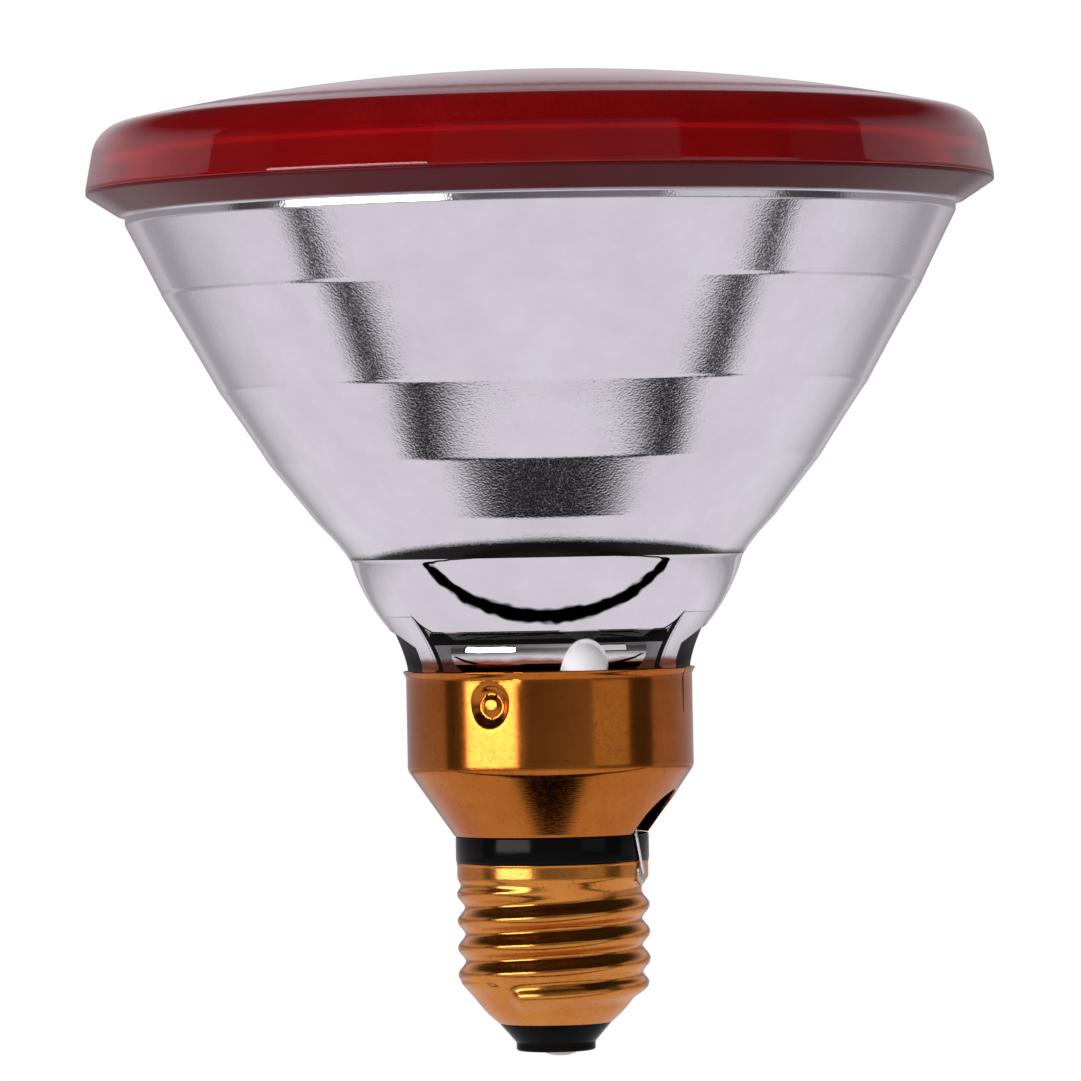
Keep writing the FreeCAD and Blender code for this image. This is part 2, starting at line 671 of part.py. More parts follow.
def make_tip():
    # The black cone, the eyelet plate let into its face and the solder dome under that plate
    insulator = add_body("tip_insulator")
    cone_bottom = "Sizes.solder_height + Sizes.tip_lip_height"
    plug = "Levels.mouth_bore_radius - Sizes.fit_clearance"
    plug_top = "Levels.shell_bottom + Sizes.tip_plug_height"
    recess = "Sizes.contact_diameter / 2 + Sizes.fit_clearance"
    add_revolution(insulator, "tip_moulding", [
        ("Sizes.contact_hole / 2", "Levels.contact_top"),
        (recess, "Levels.contact_top"),
        (recess, "Sizes.solder_height"),
        ("Levels.tip_lip_radius", "Sizes.solder_height"),
        ("Levels.tip_lip_radius", cone_bottom),
        ("Levels.mouth_edge_radius", "Levels.shell_bottom"),
        (plug, "Levels.shell_bottom"),
        (plug, plug_top),
        ("Sizes.contact_hole / 2", plug_top),
    ])
    contact = add_body("centre_contact")
    add_revolution(contact, "contact_plate", [
        ("Sizes.contact_hole / 2", "Sizes.solder_height"),
        ("Sizes.contact_diameter / 2", "Sizes.solder_height"),
        ("Sizes.contact_diameter / 2", "Levels.contact_top"),
        ("Sizes.contact_hole / 2", "Levels.contact_top"),
    ])
    solder = add_body("tip_solder")
    dome_curve = "((Sizes.solder_diameter / 2) ^ 2 + Sizes.solder_height ^ 2) / (2 * Sizes.solder_height)"
    add_revolution(solder, "solder_dome", [
        ("0", "0", dome_curve),
        ("Sizes.solder_diameter / 2", "Sizes.solder_height"),
        ("0", "Sizes.solder_height"),
    ])
    solder.setExpression("Placement.Base.x", "Sizes.solder_offset")
    return [insulator, contact, solder]


def make_ferrule(name, across):
    # A metal cup that seals a lead hole from below
    ferrule = add_body(name)
    radius = "Sizes.ferrule_diameter / 2"
    bore = f"{radius} - Sizes.ferrule_wall"
    add_revolution(ferrule, f"{name}_cup", [
        ("0", "Levels.ferrule_bottom"),
        (radius, "Levels.ferrule_bottom"),
        (radius, "Levels.heel_underside"),
        (bore, "Levels.heel_underside"),
        (bore, "Levels.post_bottom"),
        ("0", "Levels.post_bottom"),
    ])
    ferrule.setExpression("Placement.Base.x", across)
    return ferrule


def make_exhaust_tube():
    # A pumping tube let into the heel and melted shut at its lower end
    tube = add_body("exhaust_tube")
    radius = "Sizes.exhaust_diameter / 2"
    bore = "Sizes.exhaust_bore / 2"
    end = "Levels.heel_underside - Sizes.exhaust_length"
    add_revolution(tube, "tube_wall", [
        ("0", end),
        (radius, f"{end} + Sizes.exhaust_tip_length"),
        (radius, "Levels.heel_floor"),
        (bore, "Levels.heel_floor"),
        (bore, f"{end} + Sizes.exhaust_tip_length"),
        ("0", f"{end} + Sizes.exhaust_tip_length"),
    ])
    return tube


def make_filament_mount():
    # Two posts on the ferrules carry the coil, and a glass bead between them carries its hook.
    along_x = Vector(1, 0, 0)
    post_height = "Levels.filament_level + Sizes.post_overrun - Levels.post_bottom"
    posts = []
    ferrules = []
    for side, across in (("left", "-Levels.lead_radius"), ("right", "Levels.lead_radius")):
        ferrules.append(make_ferrule(f"ferrule_{side}", across))
        posts.append(add_cylinder(f"lead_post_{side}", "Sizes.post_diameter", post_height,
                                  (across, "0", "Levels.post_bottom")))

    half_bead = "Sizes.bead_width / 2"
    bead = doc.addObject("Part::Box", "bead_bar")
    bead.setExpression("Length", "Sizes.lead_spacing + 2 * Sizes.bead_overhang")
    bead.setExpression("Width", "Sizes.bead_width")
    bead.setExpression("Height", "Sizes.bead_width")
    bead.setExpression("Placement.Base.x", "-Levels.lead_radius - Sizes.bead_overhang")
    bead.setExpression("Placement.Base.y", f"-{half_bead}")
    bead.setExpression("Placement.Base.z", f"Levels.bead_level - {half_bead}")
    doc.recompute()
    for name, post in zip(("bead_with_left_post", "bridge_bead"), posts):
        bead = add_boolean("Part::Cut", name, bead, post)

    coil_reach = "(Levels.lead_radius - Sizes.post_diameter / 2)"
    filament = add_cylinder("filament", "Sizes.filament_coil_diameter", f"2 * {coil_reach}",
                            (f"-{coil_reach}", "0", "Levels.filament_level"), along_x)

    bead_top = f"(Levels.bead_level + {half_bead})"
    eye_bore = "(Sizes.filament_coil_diameter + 2 * Sizes.fit_clearance)"
    eye_start = ("-Sizes.hook_eye_width / 2", "0", "Levels.filament_level")
    eye_diameter = f"({eye_bore} + 2 * Sizes.hook_wire_diameter)"
    eye_disc = add_cylinder("eye_disc", eye_diameter, "Sizes.hook_eye_width", eye_start, along_x)
    eye_hole = add_cylinder("eye_hole", eye_bore, "Sizes.hook_eye_width", eye_start, along_x)
    eye = add_boolean("Part::Cut", "hook_eye", eye_disc, eye_hole)
    stem_top = f"(Levels.filament_level - {eye_bore} / 2 - Sizes.hook_wire_diameter / 2)"
    stem = add_cylinder("hook_stem", "Sizes.hook_wire_diameter", f"{stem_top} - {bead_top}",
                        ("0", "0", bead_top))
    hook = add_boolean("Part::Fuse", "support_hook", eye, stem)
    return [*ferrules, *posts, bead, filament, hook]


def clear_end(point, other, gap_side):
    # Moves a slanted wire's end off the level face it is soldered to, by what its rim would sink in.
    run = other - point
    sink = value("Sizes.lead_wire_diameter") / 2 * math.hypot(run.x, run.y) / run.Length
    return point + Vector(0, 0, gap_side * sink)


def make_leads(shell):
    # The centre lead runs through the cap to the tip's solder, the side lead out of the slot to the shell.
    lead_radius = value("Levels.lead_radius")
    ferrule_bottom = value("Levels.ferrule_bottom")
    left_ferrule = Vector(-lead_radius, 0, ferrule_bottom)
    right_ferrule = Vector(lead_radius, 0, ferrule_bottom)
    tip = Vector(0, 0, value("Sizes.solder_height"))
    centre_lead = add_wire("centre_lead", [
        clear_end(left_ferrule, tip, -1),
        clear_end(tip, left_ferrule, 1),
    ])

    shell_top = value("Levels.shell_top")
    half_wire = value("Sizes.lead_wire_diameter") / 2
    on_ring = value("Levels.ring_radius") + half_wire + value("Sizes.fit_clearance")
    way_out = polar(on_ring, value("Sizes.lead_exit_azimuth"), value("Levels.ring_top"))
    solder_level = shell_top - value("Sizes.side_solder_height") / 2
    side_lead = add_wire("side_lead", [
        clear_end(right_ferrule, way_out, -1),
        way_out,
        polar(on_ring, value("Sizes.side_solder_azimuth"), solder_level),
    ])

    azimuth = "Sizes.side_solder_azimuth"
    bead = add_cylinder("solder_bead", "Sizes.side_solder_width", "Sizes.side_solder_height", (
        f"Levels.rim_radius * sin({azimuth})",
        f"-Levels.rim_radius * cos({azimuth})",
        "Levels.shell_top - Sizes.side_solder_height",
    ))
    core = add_cylinder("solder_core", "Sizes.shell_rim_diameter", "Levels.ring_top", ("0", "0", "0"))
    face = add_boolean("Part::Cut", "solder_face", bead, core)
    seat = add_boolean("Part::Cut", "solder_seat", face, shell)
    solder = add_boolean("Part::Cut", "side_solder", seat, side_lead)
    return [centre_lead, side_lead, solder]


screw_shell = make_screw_shell()
pieces = [
    make_front_lens(),
    make_reflector_bowl(),
    make_skirt_collar(),
    make_insulator_ring(),
    screw_shell,
    *make_tip(),
    make_exhaust_tube(),
    *make_filament_mount(),
    *make_leads(screw_shell),
]
doc.recompute()

for item in doc.Objects:
    if "Invalid" in item.State or "Error" in item.State:
        raise RuntimeError(f"{item.Label} failed: {item.State}")
for piece in pieces:
    if piece.Shape.isNull() or not piece.Shape.isValid():
        raise RuntimeError(f"{piece.Label} has no valid shape")

os.makedirs("parts", exist_ok=True)
for piece in pieces:
    piece.Shape.exportStep(f"parts/{piece.Label}.step")
    print(piece.Label, round(piece.Shape.Volume, 3), len(piece.Shape.Solids))
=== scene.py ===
import bmesh
import bpy
from math import atan, atan2, ceil, copysign, cos, degrees, hypot, pi, radians, sin, sqrt, tan
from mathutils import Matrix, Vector


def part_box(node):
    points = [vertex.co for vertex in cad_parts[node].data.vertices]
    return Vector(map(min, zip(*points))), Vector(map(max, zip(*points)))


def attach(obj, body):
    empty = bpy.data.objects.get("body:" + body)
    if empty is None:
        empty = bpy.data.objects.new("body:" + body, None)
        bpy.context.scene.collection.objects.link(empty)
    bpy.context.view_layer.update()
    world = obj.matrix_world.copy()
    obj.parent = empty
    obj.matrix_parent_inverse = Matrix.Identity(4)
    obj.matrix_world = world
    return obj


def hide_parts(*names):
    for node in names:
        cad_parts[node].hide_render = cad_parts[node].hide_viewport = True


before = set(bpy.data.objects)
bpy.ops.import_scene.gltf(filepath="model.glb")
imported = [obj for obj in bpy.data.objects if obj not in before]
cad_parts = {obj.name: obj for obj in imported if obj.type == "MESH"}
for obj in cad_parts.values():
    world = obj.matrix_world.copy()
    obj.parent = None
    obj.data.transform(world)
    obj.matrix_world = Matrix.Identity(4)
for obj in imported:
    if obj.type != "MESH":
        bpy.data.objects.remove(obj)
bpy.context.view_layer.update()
mm = 0.001  # profiles below are written in millimetres
print("frame loaded")


# Levels read from the frame, in millimetres

def nodeSpan(node):
    low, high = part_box(node)
    return low.z / mm, high.z / mm, (high.x - low.x) / 2 / mm  # bottom, top, radius


shellBottom, shellTop = nodeSpan("screw_shell")[:2]
skirtBottom, rimLevel = nodeSpan("skirt_collar")[:2]
seamLevel, lensTop, flangeRadius = nodeSpan("front_lens")
neckBottom = nodeSpan("reflector_bowl")[0]
tipFace = nodeSpan("tip_insulator")[0]
solderBottom, solderTop, solderRadius = nodeSpan("tip_solder")


# Small helpers for meshes

def easeStep(value, start, end):
    share = min(max((value - start) / (end - start), 0.0), 1.0)
    return share * share * (3 - 2 * share)


def evenSteps(start, end, count):
    return [start + (end - start) * step / count for step in range(count + 1)]


def roundedLine(corners, spacing=0.35):
    # each corner is (r, z) or (r, z, rounding)
    line = []
    for index, corner in enumerate(corners):
        point = Vector(corner[:2])
        rounding = corner[2] if len(corner) > 2 else 0
        if not rounding:
            line.append(point)
            continue
        back = Vector(corners[index - 1][:2]) - point
        ahead = Vector(corners[(index + 1) % len(corners)][:2]) - point
        halfAngle = back.angle(ahead) / 2
        setback = min(rounding / tan(halfAngle), 0.9 * min(back.length, ahead.length))
        radius = setback * tan(halfAngle)
        back.normalize()
        ahead.normalize()
        centre = point + (back + ahead).normalized() * (radius / sin(halfAngle))
        first = point + back * setback - centre
        last = point + ahead * setback - centre
        sweep = first.angle(last)
        count = max(3, ceil(radius * sweep / spacing))
        for step in range(count + 1):
            share = step / count
            blend = first * sin((1 - share) * sweep) + last * sin(share * sweep)
            line.append(centre + blend / sin(sweep))
    return line


def keepFlats(line, guard=0.1, longest=0.6):
    # a row close to each end of a long run keeps its shading flat
    kept = []
    for start, end in zip(line, line[1:]):
        kept.append(start)
        run = end - start
        if run.length > longest:
            step = run.normalized() * guard
            kept += [start + step, end - step]
    return kept + [line[-1]]


def arcLine(start, end, radius, count):
    # an arc from start to end that bulges out, away from the axis
    chord = end - start
    sideways = Vector((-chord.y, chord.x)).normalized()
    centre = start + chord / 2 + sideways * sqrt(radius ** 2 - chord.length_squared / 4)
    first = (start - centre).normalized()
    last = (end - centre).normalized()
    return [centre + first.slerp(last, share) * radius for share in evenSteps(0, 1, count)]


def splitLong(line, longest, closed=True):
    # adds points on long straight runs, so that a pushed surface has enough of them
    fine = []
    ends = line[1:] + line[:1] if closed else line[1:]
    for start, end in zip(line, ends):
        count = max(1, ceil((end - start).length / longest))
        fine += [start.lerp(end, step / count) for step in range(count)]
    return fine if closed else fine + [line[-1]]


def turnedPiece(name, profile, steps, shape=None, sharpAngle=32):
    # a closed profile of (r, z) spun about Z; shape(angle, r, z) may move each point
    builder = bmesh.new()
    rings = []
    for r, z in profile:
        angles = [0.0] if r < 1e-5 else [2 * pi * step / steps for step in range(steps)]
        ring = []
        for angle in angles:
            rNow, zNow = shape(angle, r, z) if shape else (r, z)
            place = Vector((rNow * cos(angle), rNow * sin(angle), zNow)) * mm
            ring.append(builder.verts.new(place))
        rings.append(ring)
    for lower, upper in zip(rings, rings[1:] + rings[:1]):
        for step in range(steps):
            ahead = (step + 1) % steps
            quad = [lower[step % len(lower)], lower[ahead % len(lower)],
                    upper[ahead % len(upper)], upper[step % len(upper)]]
            corners = list(dict.fromkeys(quad))
            if len(corners) > 2:
                builder.faces.new(corners)
    return finishMesh(name, builder, sharpAngle)


def addObject(name, data):
    made = bpy.data.objects.new(name, data)
    bpy.context.collection.objects.link(made)
    return made


def finishMesh(name, builder, sharpAngle=32):
    bmesh.ops.recalc_face_normals(builder, faces=builder.faces)
    mesh = bpy.data.meshes.new(name)
    builder.to_mesh(mesh)
    builder.free()
    smoothMesh(mesh, sharpAngle)
    return addObject(name, mesh)


def smoothMesh(mesh, sharpAngle):
    for face in mesh.polygons:
        face.use_smooth = True
    mesh.set_sharp_from_angle(angle=radians(sharpAngle))


def ballPoints(builder):
    return bmesh.ops.create_uvsphere(builder, u_segments=48, v_segments=32, radius=1.0)["verts"]


def bakeModifiers(piece):
    # turns what the modifiers give into the piece's own plain mesh
    graph = bpy.context.evaluated_depsgraph_get()
    mesh = bpy.data.meshes.new_from_object(piece.evaluated_get(graph))
    piece.modifiers.clear()
    piece.data = mesh


def joinOrCut(piece, other, operation):
    # other is used up
    change = piece.modifiers.new(operation, "BOOLEAN")
    change.operation = operation
    change.solver = "EXACT"
    change.object = other
    bakeModifiers(piece)
    bpy.data.objects.remove(other)


def dress(piece, material, slot, *nodes):
    piece.data.materials.clear()
    piece.data.materials.append(material)
    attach(piece, "root")
    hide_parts(*nodes)
    triangles = sum(len(face.vertices) - 2 for face in piece.data.polygons)
    print(piece.name, "made,", triangles, "triangles")


def azimuthOf(angle):
    # degrees from the front, -Y, towards +X
    return (degrees(angle) + 90 + 180) % 360 - 180


def azimuthGap(angle, azimuth):
    return (azimuthOf(angle) - azimuth + 180) % 360 - 180


def outAndAside(azimuth):
    # unit directions at an azimuth: away from the axis, and level across
    turn = radians(azimuth)
    return Vector((sin(turn), -cos(turn), 0)), Vector((cos(turn), sin(turn), 0))


# Small helpers for materials and node trees

def newMaterial(name):
    material = bpy.data.materials.new(name)
    material.use_nodes = True
    tree = material.node_tree
    return material, tree, tree.nodes["Principled BSDF"]


def addNode(tree, kind, values=None, **settings):
    node = tree.nodes.new(kind)
    for key, value in settings.items():
        setattr(node, key, value)
    feed(node, values or {})
    return node


def feed(node, values):
    # sets numbers and colours on the node's inputs, and links the rest
    for label, value in values.items():
        socket = node.inputs[label]
        if isinstance(value, (int, float)):
            socket.default_value = value
        elif isinstance(value, tuple):
            socket.default_value = (*value, 1)
        else:
            node.id_data.links.new(value, socket)


def addMath(operation, *values):
    # the tree is that of the values which are sockets
    tree = next(value.id_data for value in values if not isinstance(value, (int, float)))
    return addNode(tree, "ShaderNodeMath", dict(enumerate(values)), operation=operation).outputs[0]


def addAll(operation, values):
    total = values[0]
    for value in values[1:]:
        total = addMath(operation, total, value)
    return total


def times(*values):
    return addAll("MULTIPLY", values)


def plus(*values):
    return addAll("ADD", values)


def minus(first, second):
    return addMath("SUBTRACT", first, second)


def axisDistance(x, y):
    return addMath("SQRT", plus(times(x, x), times(y, y)))


def addMix(factor, first, second):
    values = {"Factor": factor, 6: first, 7: second}
    return addNode(factor.id_data, "ShaderNodeMix", values, data_type="RGBA").outputs[2]


def addRange(value, fromLow, fromHigh, toLow=0.0, toHigh=1.0):
    return addNode(value.id_data, "ShaderNodeMapRange", {
        "Value": value, "From Min": fromLow, "From Max": fromHigh, "To Min": toLow, "To Max": toHigh,
    }).outputs["Result"]


def opposite(mask):
    return addRange(mask, 0.0, 1.0, 1.0, 0.0)


def addNoise(vector, scale, detail=4.0, roughness=0.5):
    return addNode(vector.id_data, "ShaderNodeTexNoise", {
        "Vector": vector, "Scale": scale, "Detail": detail, "Roughness": roughness,
    }).outputs["Fac"]


def addBump(height, strength, depth, shader):
    # depth in millimetres
    values = {"Height": height, "Strength": strength, "Distance": depth * mm}
    feed(shader, {"Normal": addNode(height.id_data, "ShaderNodeBump", values).outputs["Normal"]})


def objectPlace(tree):
    return addNode(tree, "ShaderNodeTexCoord").outputs["Object"]


def splitAxes(vector):
    return addNode(vector.id_data, "ShaderNodeSeparateXYZ", {0: vector}).outputs


def past(value, low, high, *ends):
    # 0 below the first level and 1 above the second, both in millimetres, or the given ends
    return addRange(value, low * mm, high * mm, *ends)


def heightMask(tree, low, high):
    return past(splitAxes(objectPlace(tree))["Z"], low, high)


def addSockets(tree, side, kind, *labels):
    # named inputs or outputs of a group, with their identifiers
    kind = "NodeSocket" + kind
    made = [tree.interface.new_socket(label, in_out=side, socket_type=kind) for label in labels]
    return {socket.name: socket.identifier for socket in made}


def startTree(name, *sizes):
    # a geometry tree that takes a mesh, named sizes and a material
    tree = bpy.data.node_groups.new(name, "GeometryNodeTree")
    addSockets(tree, "INPUT", "Geometry", "Geometry")
    ids = addSockets(tree, "INPUT", "Float", *sizes)
    ids.update(addSockets(tree, "INPUT", "Material", "Material"))
    addSockets(tree, "OUTPUT", "Geometry", "Geometry")
    return tree, ids, addNode(tree, "NodeGroupInput").outputs


def endTree(geometry, given):
    tree = geometry.id_data
    real = addNode(tree, "GeometryNodeRealizeInstances", {"Geometry": geometry})
    paint = addNode(tree, "GeometryNodeSetMaterial", {
        "Geometry": real.outputs["Geometry"], "Material": given["Material"],
    })
    addNode(tree, "NodeGroupOutput", {"Geometry": paint.outputs["Geometry"]})


def runTree(piece, tree, ids, values):
    # inputs are set by identifier, and the result becomes the piece's plain mesh
    change = piece.modifiers.new(tree.name, "NODES")
    change.node_group = tree
    for label, value in values.items():
        change[ids[label]] = value
    bakeModifiers(piece)


turning = dict(
    wrap=0.0035, clouds=120.0, cloudSpan=(0.35, 0.7), speckSpan=(0.3, 0.7),
    tarnishSpan=(0.56, 0.72), markDepth=0.04, speckDepth=0.03,
)


def makeTurningMarks():
    # fine marks that run round the axis, speckles and slow clouds, for every finish below
    group = bpy.data.node_groups.new("turningMarks", "ShaderNodeTree")
    addSockets(group, "INPUT", "Vector", "Place")
    addSockets(group, "INPUT", "Float", "Pitch", "Speckle")
    addSockets(group, "OUTPUT", "Float", "Marks", "Speckles", "Clouds")
    given = addNode(group, "NodeGroupInput").outputs
    x, y, z = splitAxes(given["Place"])
    angle = addMath("ARCTAN2", y, x)
    wrapped = addNode(group, "ShaderNodeCombineXYZ", {
        "X": times(angle, turning["wrap"]), "Y": z, "Z": axisDistance(x, y),
    })
    addNode(group, "NodeGroupOutput", {
        "Marks": addNoise(wrapped.outputs[0], given["Pitch"], 3.0),
        "Speckles": addNoise(given["Place"], given["Speckle"], 5.0, 0.7),
        "Clouds": addNoise(given["Place"], turning["clouds"], 4.0, 0.6),
    })
    return group


turningMarks = makeTurningMarks()


def placeMarks(tree, speckle, pitch=0.0):
    values = {"Place": objectPlace(tree), "Pitch": pitch, "Speckle": speckle}
    return addNode(tree, "ShaderNodeGroup", values, node_tree=turningMarks).outputs


def makeBrass(name, finish):
    # cap metal with clouds, tarnish specks and marks of the press tool; its lower end differs in gloss
    material, tree, shader = newMaterial(name)
    marks = placeMarks(tree, finish["speckle"], finish["pitch"])
    clouds = addRange(marks["Clouds"], *turning["cloudSpan"])
    specks = addRange(marks["Speckles"], *turning["tarnishSpan"], 0.0, finish["tarnish"])
    tone = addMix(clouds, finish["bright"], finish["warm"])
    gloss = addRange(marks["Speckles"], *turning["speckSpan"], *finish["roughness"])
    dull = addRange(heightMask(tree, *finish["dullBelow"]), 0.0, 1.0, finish["dull"], 0.0)
    feed(shader, {
        "Base Color": addMix(specks, tone, finish["dark"]),
        "Roughness": plus(gloss, dull), "Metallic": 1.0,
    })
    addBump(marks["Marks"], finish["bump"], turning["markDepth"], shader)
    return material


def makeSmooth(name, finish):
    # moulded, glassy or wire surfaces with a little uneven gloss
    material, tree, shader = newMaterial(name)
    marks = placeMarks(tree, finish["speckle"])
    clouds = addRange(marks["Clouds"], *turning["cloudSpan"])
    feed(shader, {
        "Base Color": addMix(clouds, finish["colour"], finish["shade"]),
        "Roughness": addRange(marks["Speckles"], *turning["speckSpan"], *finish["roughness"]),
        "Metallic": finish["metallic"], "Transmission Weight": finish.get("transmission", 0.0),
        "IOR": 1.5, "Specular IOR Level": finish.get("specular", 0.5),
    })
    addBump(marks["Speckles"], finish["bump"], turning["speckDepth"], shader)
    return material


# Front lens: red pressed glass with a stippled inner face

lens = dict(
    domeRise=6.75, edgeHeight=8.6, edgeDraft=1.55, wall=4.0, rimWidth=5.5,
    shoulderRound=5.0, innerRound=2.5, seamRound=0.2, seamLand=0.5, landRound=0.8,
    steps=500, outerRows=12, innerRows=128, domeStop=5.0, innerStop=3.0, faceDrop=0.5,
    stippleEdge=50.0, stipplePitch=2.4, stippleRise=0.2, stippleShare=0.44,
    red=(0.52, 0.007, 0.01), deepRed=(0.42, 0.004, 0.007), clear=0.67, streaks=60,
    streakSpan=(0.35, 0.65), fine=700, roughness=(0.02, 0.06), innerRough=0.24,
    swell=90, bump=0.05, bumpDepth=0.5,
)


def domeLine(radius, crown, rise, outer, count):
    curve = (radius ** 2 / rise + rise) / 2
    return [Vector((r, crown - curve + sqrt(curve ** 2 - r ** 2))) for r in evenSteps(0, outer, count)]


def makeStippleTree():
    # pushes dots, set in rings, out of the marked inner face
    tree, ids, given = startTree("stippledFace", "Pitch", "Rise", "Spread", "Edge")
    x, y = splitAxes(addNode(tree, "GeometryNodeInputPosition").outputs[0])[:2]
    radius = axisDistance(x, y)
    ring = addMath("ROUND", addMath("DIVIDE", radius, given["Pitch"]))
    dots = addMath("MAXIMUM", addMath("ROUND", times(ring, 2 * pi)), 1.0)
    turn = times(addMath("DIVIDE", addMath("ARCTAN2", y, x), 2 * pi), dots)
    offTurn = minus(turn, addMath("ROUND", turn))
    ringRadius = times(ring, given["Pitch"])
    offAngle = addMath("DIVIDE", times(offTurn, 2 * pi), dots)
    along = times(offAngle, ringRadius)
    across = minus(radius, ringRadius)
    away = plus(times(along, along), times(across, across))
    spread = times(given["Pitch"], given["Spread"])
    fallOff = addMath("DIVIDE", away, times(spread, spread))
    bulge = addMath("MAXIMUM", minus(1.0, fallOff), 0.0)
    inside = addMath("LESS_THAN", ringRadius, given["Edge"])
    drop = times(bulge, times(given["Rise"], inside))
    offset = addNode(tree, "ShaderNodeCombineXYZ", {"Z": times(drop, -1.0)})
    marked = addNode(tree, "GeometryNodeInputNamedAttribute", data_type="FLOAT")
    marked.inputs["Name"].default_value = "innerFace"
    push = addNode(tree, "GeometryNodeSetPosition", {
        "Geometry": given["Geometry"], "Selection": marked.outputs[0], "Offset": offset.outputs[0],
    })
    endTree(push.outputs["Geometry"], given)
    return tree, ids


def makeRedGlass():
    material, tree, shader = newMaterial("redGlass")
    place = objectPlace(tree)
    streaks = addRange(addNoise(place, lens["streaks"], 3.0), *lens["streakSpan"])
    gloss = addRange(addNoise(place, lens["fine"], 2.0), *turning["speckSpan"], *lens["roughness"])
    inside = addNode(tree, "ShaderNodeAttribute", attribute_name="innerFace").outputs["Fac"]
    feed(shader, {
        "Base Color": addMix(streaks, lens["red"], lens["deepRed"]),
        "Roughness": plus(times(inside, lens["innerRough"]), gloss),
        "Transmission Weight": lens["clear"], "IOR": 1.5,
    })
    addBump(addNoise(place, lens["swell"], 2.0), lens["bump"], lens["bumpDepth"], shader)
    return material


def makeLens():
    shoulderLevel = seamLevel + lens["edgeHeight"]
    shoulderRadius = flangeRadius - lens["edgeDraft"]
    innerRadius = shoulderRadius - lens["rimWidth"]
    innerLevel = shoulderLevel - lens["wall"]
    crown = lensTop - lens["wall"]
    stop = innerRadius - lens["innerStop"]
    outer = domeLine(shoulderRadius, lensTop, lens["domeRise"], shoulderRadius - lens["domeStop"],
                     lens["outerRows"])
    inner = domeLine(innerRadius, crown, lens["domeRise"], stop, lens["innerRows"])
    rim = keepFlats(roundedLine([
        outer[-1],
        (shoulderRadius, shoulderLevel, lens["shoulderRound"]),
        (flangeRadius, seamLevel + lens["seamLand"], lens["landRound"]),
        (flangeRadius, seamLevel, lens["seamRound"]),
        (flangeRadius - lens["rimWidth"], seamLevel, lens["seamRound"]),
        (innerRadius, innerLevel, lens["innerRound"]),
        inner[-1],
    ]))
    piece = turnedPiece("frontLens", outer[:-1] + rim + list(reversed(inner[:-1])), lens["steps"])
    marks = piece.data.attributes.new("innerFace", "FLOAT", "POINT")
    for vertex, mark in zip(piece.data.vertices, marks.data):
        across = hypot(vertex.co.x, vertex.co.y) / mm
        onFace = across < stop and innerLevel - lens["faceDrop"] < vertex.co.z / mm < crown + 0.01
        mark.value = 1.0 if onFace else 0.0
    material = makeRedGlass()
    runTree(piece, *makeStippleTree(), {
        "Pitch": lens["stipplePitch"] * mm, "Rise": lens["stippleRise"] * mm, "Spread": lens["stippleShare"],
        "Edge": lens["stippleEdge"] * mm, "Material": material,
    })
    dress(piece, material, "red_glass", "front_lens")


makeLens()


# Reflector bowl: pressed glass, silvered inside, with stepped bands, a flange and a ribbed neck

bowl = dict(
    vertexRise=2.55, focalLength=13.475, heelRadius=26.1, mouthRadius=56.2, wall=3.2,
    bandShares=(0.163, 0.365, 0.59, 0.836), bandRound=0.12,
    bandHollows=(0.03, 0.09, 0.05, 0.04), bandTilts=(0, 0, 0.04, 0.02),
    heelEase=2.6, heelLean=34.0, heelRound=22.0, heelEdge=1.8,
    landDrop=0.45, landHeight=1.1, landRound=0.7, landDraft=0.02, flangeRoot=0.9,
    flangeEdge=0.35, flangeRound=0.35, seamWidth=5.5, seamRound=0.2,
    neckRadius=18.92, insertRadius=18.02, neckWall=4.2, rollFoot=0.08, rollRise=4.0,
    rollRound=4.2, shoulderRadius=21.2, shoulderRise=5.4, shoulderRound=0.4, flareRound=25.0,
    heelUnder=4.6, heelThickness=5.0, heelFloor=12.5, steps=480, row=0.45,
    neckEdge=0.6, insertEdge=0.8, landEdge=0.2, rootRound=0.4, rollRows=16, flareRows=30,
    heelRow=0.2, sharpAngle=26,
)
rib = dict(
    near=7.1, far=14.0, foot=20.3, top=22.9, height=7.4, bend=1.5,
    edgeRound=0.35, root=16.5, columns=20, rows=22, lift=0.02,
)
boss = dict(
    azimuths=(15.0, -165.0), width=6.6, rise=4.2, reach=1.7, root=16.5, lift=0.02,
    front=15.0, frontSoft=0.1, edge=(0.95, 1.02),
)
silver = dict(
    # painted light among these colours: the flange's dark red is painted red light from the lens, the
    # near-black is painted shade, the white is a painted highlight on the swellings and the brown is a
    # painted reflection of the brass rim
    speckle=5000, colour=(0.80, 0.775, 0.81), shade=(0.74, 0.71, 0.745),
    cloudSpan=(0.35, 0.65), flangePaintedRed=(0.085, 0.007, 0.009), paintedShadeColour=(0.008, 0.006, 0.006),
    paintedBossHighlight=(0.97, 0.95, 0.97), paintedBrassReflection=(0.3, 0.1, 0.05), brassReflectionReach=(1.5, 2.1),
    brassReflectionFray=0.5, roughness=(0.06, 0.12), neckRough=0.02, bossHighlightRough=0.25, specular=0.1,
    coat=0.3, coatRough=0.04, wobble=2.6, wobbleScale=380, grainScale=3600, bump=0.5,
    bumpDepth=0.032, flangeSoft=0.2, heelSoft=(-0.3, 0.5),
)
